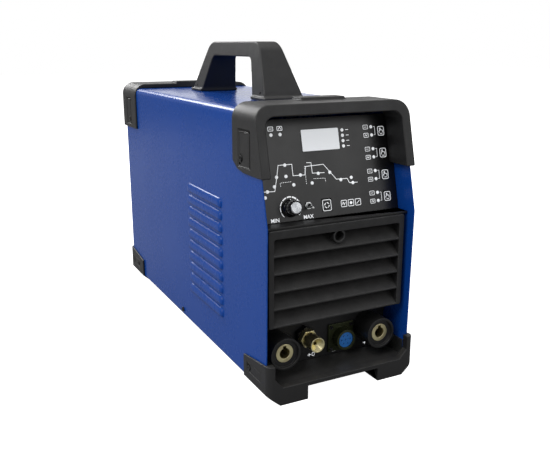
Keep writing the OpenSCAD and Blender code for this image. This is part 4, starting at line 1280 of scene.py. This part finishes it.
class WELDER_OT_knob(bpy.types.Operator):
    """Current knob with ribs, a spun cap, its shaft and the toggle beside it"""
    bl_idname = "welder.knob"
    bl_label = "Knob and toggle"

    def execute(self, context):
        black, metal = gloss_black(), spun_aluminium()
        x, y = knob_spot()
        place = on_panel(x, y, 0)
        skirt = lathe([(3.1, 0.6), (10.5, 0.6), (10.5, 1.5), (9.3, 2.7), (8.7, 3.2), (8.5, 13.4), (7.5, 14.6),
                       (7.35, 14.6), (7.3, 12.8), (3.1, 12.8)], 0.45, turns=72, closed=True)
        rib = prism(softened([(8.2, -0.75), (9.0, -0.42), (9.0, 0.42), (8.2, 0.75)], 0.3), 10.0, soft=0.3)
        ribs = grown(ring_tree, rib.placed(up(0, 0, 3.2)), black, Count=sizes().flute_count)
        pointer = prism(box_outline(1.0, 2.6, 0.3, 0, 9.2), 0.12, soft=0.03).placed(up(0, 0, 2.25))
        piece("knob_body", [((skirt + ribs).placed(place), black), (pointer.placed(place), ink())],
              body="control_knob", slot="knob_black", stands_for=("control_knob",))
        cap = lathe([(0, 12.85), (7.15, 12.85), (7.15, 14.5), (6.4, 15.0), (0, 15.0)], 0.4, turns=64)
        piece("knob_spun_cap", [(cap.placed(place), metal)], body="control_knob", slot="spun_aluminium",
              stands_for=("knob_cap",))
        repaint(steel(), "knob_shaft")
        repaint(zinc_plate(), "potentiometer")
        pivot = toggle_pivot()
        lever = lathe([(0, 0), (1.2, 0.2), (1.25, 1.2), (1.2, 3.5), (1.9, 10.4), (1.85, 12.1), (1.1, 12.9),
                       (0, 12.9)], 0.7, turns=24)
        ball = lathe([(0, -1.7), (1.2, -1.2), (1.7, 0), (1.2, 1.2), (0, 1.7)], 0.5, turns=24)
        piece("toggle_bat", [((lever + ball).placed(pivot), steel())], body="toggle_lever", slot="steel",
              stands_for=("toggle_lever",))
        rounded("toggle_bushing", "toggle_switch_body", 0.25, steel())
        return {"FINISHED"}


def toggle_pivot():
    """Local Z along the toggle lever at rest."""
    joint = next(j for j in frame["joints"] if j["name"] == "toggle_flip")
    at = Vector(joint["pos_m"]) / MM
    tilt = Matrix.Rotation(math.radians(15), 3, "X")
    matrix = (on_panel().to_3x3() @ tilt).to_4x4()
    matrix.translation = at
    return matrix


# ---------------------------------------------------------------- front connectors

def connector_print():
    """Small signs on the bulkhead under the connectors, seen from the front."""
    row, wide = 25.6, millimetres("print_line")
    art = ribbon([(-18.5, row), (-13, row)], wide) + ribbon([(-16, row - 2), (-16, row + 2)], wide)
    art = art + ribbon(box_outline(3.2, 4.2, 0.6, -10.2, row), wide * 0.8, closed=True)
    for x in (19.8, 35.1):
        art = art + ribbon(box_outline(6.6, 4.4, 1.0, x, row), wide * 0.8, closed=True)
        art = art + ribbon([(x - 1.8, row), (x + 1.8, row)], wide)
    centre = middle("output_socket_right").x
    return (art + ribbon([(centre - 2.4, row), (centre + 2.4, row)], wide)
            + ribbon([(centre, row - 2.4), (centre, row + 2.4)], wide)
            + ribbon([(-centre - 2.4, row), (-centre + 2.4, row)], wide))


class WELDER_OT_sockets(bpy.types.Operator):
    """Output sockets with insulating collars, and the torch gas connector"""
    bl_idname = "welder.sockets"
    bl_label = "Output sockets"

    def execute(self, context):
        rounded("socket_collars", "output_collars", 0.6, fine_moulded())
        rounded("brass_socket_left", "output_socket_left", 0.55, brass(-1))
        rounded("brass_socket_right", "output_socket_right", 0.55, brass(1))
        rounded("brass_gas_connector", "torch_gas_connector", 0.35, brass(0))
        rounded("gas_nut", "gas_connector_nut", 0.5, black_oxide())
        repaint(brass(0), "socket_nuts")
        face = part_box("front_bulkhead")[0].y / MM
        piece("connector_print", [(connector_print().placed(to_front(0, face, 0)), ink())], slot="lamp_white")
        return {"FINISHED"}


class WELDER_OT_remote(bpy.types.Operator):
    """Remote-control socket: flanged shell, blue insert and its contacts"""
    bl_idname = "welder.remote_socket"
    bl_label = "Remote socket"

    def execute(self, context):
        rounded("remote_shell", "remote_socket_shell", 0.4, olive_alloy())
        rounded("remote_insert", "remote_socket_insert", 0.25, blue_insert())
        spot = middle("remote_socket_insert")
        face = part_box("remote_socket_insert")[0].y / MM
        pin = lathe([(0, 0), (0.62, 0), (0.62, 4.0), (0.35, 4.5), (0, 4.5)], 0.2, turns=12)
        contacts = grown(ring_tree, pin.placed(up(CONTACT_RING, 0, 0)), brass(0), Count=6) + pin
        place = to_front(spot.x, face + CONTACT_DEPTH, spot.z)
        piece("remote_contacts", [(contacts.placed(place), brass(0))], slot="brass")
        return {"FINISHED"}


# ---------------------------------------------------------------- rear and inside

class WELDER_OT_rear(bpy.types.Operator):
    """Rear panel with the mains switch, cable gland, gas inlet, earth stud and fan"""
    bl_idname = "welder.rear"
    bl_label = "Rear"

    def execute(self, context):
        wire, plastic = zinc_plate(), fine_moulded()
        rounded("rear_sheet", "rear_panel", 0.2, black_sheet())
        rounded("switch_housing", "power_switch_body", 0.5, plastic)
        rounded("switch_rocker", "power_switch_rocker", 0.5, red_rocker(), body="power_rocker")
        rounded("gland_body", "cable_gland", 0.5, plastic)
        rounded("gland_lock_nut", "gland_nut", 0.5, plastic)
        rounded("gas_inlet", "gas_inlet_barb", 0.25, brass(0))
        rounded("earth_stud", "ground_stud", 0.25, brass(0))
        rounded("fan_housing", "fan_frame", 0.5, black_sheet())
        low, high = (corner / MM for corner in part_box("fan_guard"))
        x, z = (low.x + high.x) / 2, (low.z + high.z) / 2
        rings = grown(wire_tree, Shape([(0, 0, 0)]), wire, Count=sizes().wire_rings, **{
            "First radius": 12.0, "Pitch": 9.0, "Wire radius": 1.1})
        bar = [(10.5, -1.4), (71, -1.4), (71, -3.9), (78, -3.9), (78, 3.9), (71, 3.9), (71, 1.4), (10.5, 1.4)]
        arm = prism(softened(bar, 1.2), 1.1, soft=0.3, holes=(circle(2.1, 16, 74.2, 0),))
        arms = grown(ring_tree, arm, wire, Count=4, **{"Start angle": math.pi / 4})
        shape = rings.placed(up(0, 0, 1.85)) + arms
        piece("finger_guard", [(shape.placed(to_rear(x, low.y + 0.02, z)), wire)], slot="zinc_plate",
              stands_for=("fan_guard",))
        low, high = (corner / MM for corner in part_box("fan_rotor"))
        hub = lathe([(0, 0), (21, 0), (21, 17.6), (19.4, 18.4), (0, 18.4)], 1.2, turns=48)
        blade = fan_blade()
        blades = grown(ring_tree, blade, plastic, Count=sizes().blade_count)
        shape = (hub + blades).placed(to_rear(x, low.y + 4.1, z))
        piece("fan_wheel", [(shape, plastic)], body="fan_rotor", slot="black_plastic",
              stands_for=("fan_rotor",), smooth=50)
        return {"FINISHED"}


def fan_blade():
    """A thin curved blade from the hub out to the ring."""
    points, faces, rows, columns = [], [], 7, 5
    for side in (0.5, -0.5):
        for i in range(rows + 1):
            radius = 20.0 + 35.5 * i / rows
            pitch = math.radians(46 - 16 * i / rows)
            for k in range(columns + 1):
                chord = (k / columns - 0.5) * (19 + 5 * i / rows)
                bow = 2.4 * (1 - (2 * k / columns - 1) ** 2)
                across = chord * math.cos(pitch) - bow * math.sin(pitch)
                height = 9.0 - chord * math.sin(pitch) * 0.85 - bow * math.cos(pitch) + side
                angle = across / radius
                points.append((radius * math.cos(angle), radius * math.sin(angle), height))
    layer = (rows + 1) * (columns + 1)
    wide = columns + 1
    for i in range(rows):
        for k in range(columns):
            a = i * wide + k
            faces.append((a, a + wide, a + wide + 1, a + 1))
            faces.append((a + layer, a + layer + 1, a + layer + wide + 1, a + layer + wide))
    border = ([i * wide for i in range(rows + 1)] + [rows * wide + k for k in range(1, columns + 1)]
              + [i * wide + columns for i in range(rows - 1, -1, -1)] + list(range(columns - 1, 0, -1)))
    for a, b in zip(border, border[1:] + border[:1]):
        faces.append((b, a, a + layer, b + layer))
    return Shape(points, faces)


class WELDER_OT_inside(bpy.types.Operator):
    """Finishes of the sheet behind the grille and of what is inside the case"""
    bl_idname = "welder.inside"
    bl_label = "Inside"

    def execute(self, context):
        repaint(zinc_plate(), "base_pan")
        rounded("bulkhead_sheet", "front_bulkhead", 0.25, black_sheet())
        repaint(brass(0), "gas_valve")
        repaint(hose_rubber(), "gas_hose")
        repaint(circuit_board(), "power_board")
        repaint(heatsink(), "heatsinks")
        repaint(winding(), "main_transformer", "output_inductor", "hf_coil")
        repaint(can_sleeve(), "capacitors")
        repaint(copper(), "bus_bars")
        return {"FINISHED"}


# ---------------------------------------------------------------- stage

def pale_floor():
    """Near-white floor: bright to the camera, dimmer in what it throws back at the machine."""
    material = bpy.data.materials.new("Pale floor")
    material.use_nodes = True
    tree = material.node_tree
    shader = tree.nodes["Principled BSDF"]
    shader.inputs["Roughness"].default_value = 0.9
    shader.inputs["Specular IOR Level"].default_value = 0.0
    seen = node(tree, "ShaderNodeLightPath").outputs["Is Camera Ray"]
    speck = noise(tree, object_place(tree), 90.0, 3)
    pale = mixed(tree, speck, (0.93, 0.93, 0.93), (0.9, 0.9, 0.9))
    tree.links.new(mixed(tree, seen, (0.34, 0.34, 0.34), pale), shader.inputs["Base Color"])
    tree.links.new(mixed(tree, seen, (0, 0, 0), (1, 1, 1)), shader.inputs["Emission Color"])
    shader.inputs["Emission Strength"].default_value = 1.0
    return material


def studio_world():
    """White behind the machine, grey in its reflections."""
    world = bpy.data.worlds.new("studio")
    world.use_nodes = True
    tree = world.node_tree
    back = tree.nodes["Background"]
    seen = node(tree, "ShaderNodeLightPath").outputs["Is Camera Ray"]
    back.inputs["Color"].default_value = (1, 1, 1, 1)
    tree.links.new(between(tree, seen, 0.36, 1.0), back.inputs["Strength"])
    return world


# camera: place in millimetres, turn in degrees, lens and sensor in millimetres
CAMERA_AT = (-421.3, -918.7, 406.1)
CAMERA_YAW, CAMERA_PITCH = 27.14, 14.67
CAMERA_LENS, CAMERA_SENSOR = 45.16, 36.0
FLOOR_REACH = 9
AIM = Vector((0, 0, 0.2))

# soft lights: place and diameter in metres, power in watts
LIGHTS = (
    ("key", (-1.5, -0.9, 1.9), 1.5, 25.0),
    ("side", (-2.3, 0.1, 0.9), 1.4, 14.0),
    ("edge", (-0.5, 2.2, 1.5), 0.9, 28.0),
    ("far", (1.3, 2.6, 0.9), 1.7, 7.0),
    ("top", (0.3, 0.0, 2.4), 1.4, 10.0),
    ("fill", (0.9, -1.9, 1.0), 1.2, 6.0),
)


class WELDER_OT_stage(bpy.types.Operator):
    """Camera, pale floor and soft studio light"""
    bl_idname = "welder.stage"
    bl_label = "Stage"

    def execute(self, context):
        scene = context.scene
        scene.view_settings.view_transform = "Standard"
        yaw, pitch = math.radians(CAMERA_YAW), math.radians(CAMERA_PITCH)
        look = Vector((math.sin(yaw) * math.cos(pitch), math.cos(yaw) * math.cos(pitch), -math.sin(pitch)))
        camera = bpy.data.objects.new("camera", bpy.data.cameras.new("camera"))
        camera.data.lens, camera.data.sensor_width = CAMERA_LENS, CAMERA_SENSOR
        camera.data.clip_start, camera.data.clip_end = 0.05, 50.0
        camera.location = Vector(CAMERA_AT) * MM
        camera.rotation_euler = look.to_track_quat("-Z", "Y").to_euler()
        scene.collection.objects.link(camera)
        scene.camera = camera
        floor = bpy.data.meshes.new("floor")
        corners = [(x * FLOOR_REACH, y * FLOOR_REACH, 0) for x, y in ((-1, -1), (1, -1), (1, 1), (-1, 1))]
        floor.from_pydata(corners, [], [(0, 1, 2, 3)])
        ground = bpy.data.objects.new("floor", floor)
        scene.collection.objects.link(ground)
        floor.materials.append(pale_floor())
        scene.world = studio_world()
        for name, at, size, power in LIGHTS:
            lamp = bpy.data.lights.new(name, "AREA")
            lamp.shape, lamp.size, lamp.energy = "DISK", size, power
            light = bpy.data.objects.new(name, lamp)
            light.visible_camera = False
            light.location = at
            light.rotation_euler = (AIM - Vector(at)).to_track_quat("-Z", "Y").to_euler()
            scene.collection.objects.link(light)
        return {"FINISHED"}


# ---------------------------------------------------------------- add-on

STEPS = (WELDER_OT_stage, WELDER_OT_cover, WELDER_OT_guards, WELDER_OT_handle, WELDER_OT_screws,
         WELDER_OT_grille, WELDER_OT_panel, WELDER_OT_keys, WELDER_OT_knob, WELDER_OT_sockets,
         WELDER_OT_remote, WELDER_OT_rear, WELDER_OT_inside)


class WELDER_PT_panel(bpy.types.Panel):
    """Lists the build steps with their sizes and colours"""
    bl_idname = "WELDER_PT_panel"
    bl_label = "TIG welding machine"
    bl_space_type = "VIEW_3D"
    bl_region_type = "UI"
    bl_category = "Welder"

    def draw(self, context):
        for group in (context.scene.welder_sizes, context.scene.welder_colours):
            for name in group.__annotations__:
                self.layout.prop(group, name)
        for step in STEPS:
            self.layout.operator(step.bl_idname)


CLASSES = (WelderColours, WelderSizes, *STEPS, WELDER_PT_panel)


def register():
    for made in CLASSES:
        bpy.utils.register_class(made)
    bpy.types.Scene.welder_colours = PointerProperty(type=WelderColours)
    bpy.types.Scene.welder_sizes = PointerProperty(type=WelderSizes)


def unregister():
    del bpy.types.Scene.welder_sizes
    del bpy.types.Scene.welder_colours
    for made in reversed(CLASSES):
        bpy.utils.unregister_class(made)


def main():
    register()
    for step in STEPS:
        group, name = step.bl_idname.split(".")
        getattr(getattr(bpy.ops, group), name)()


if __name__ == "__main__":
    main()
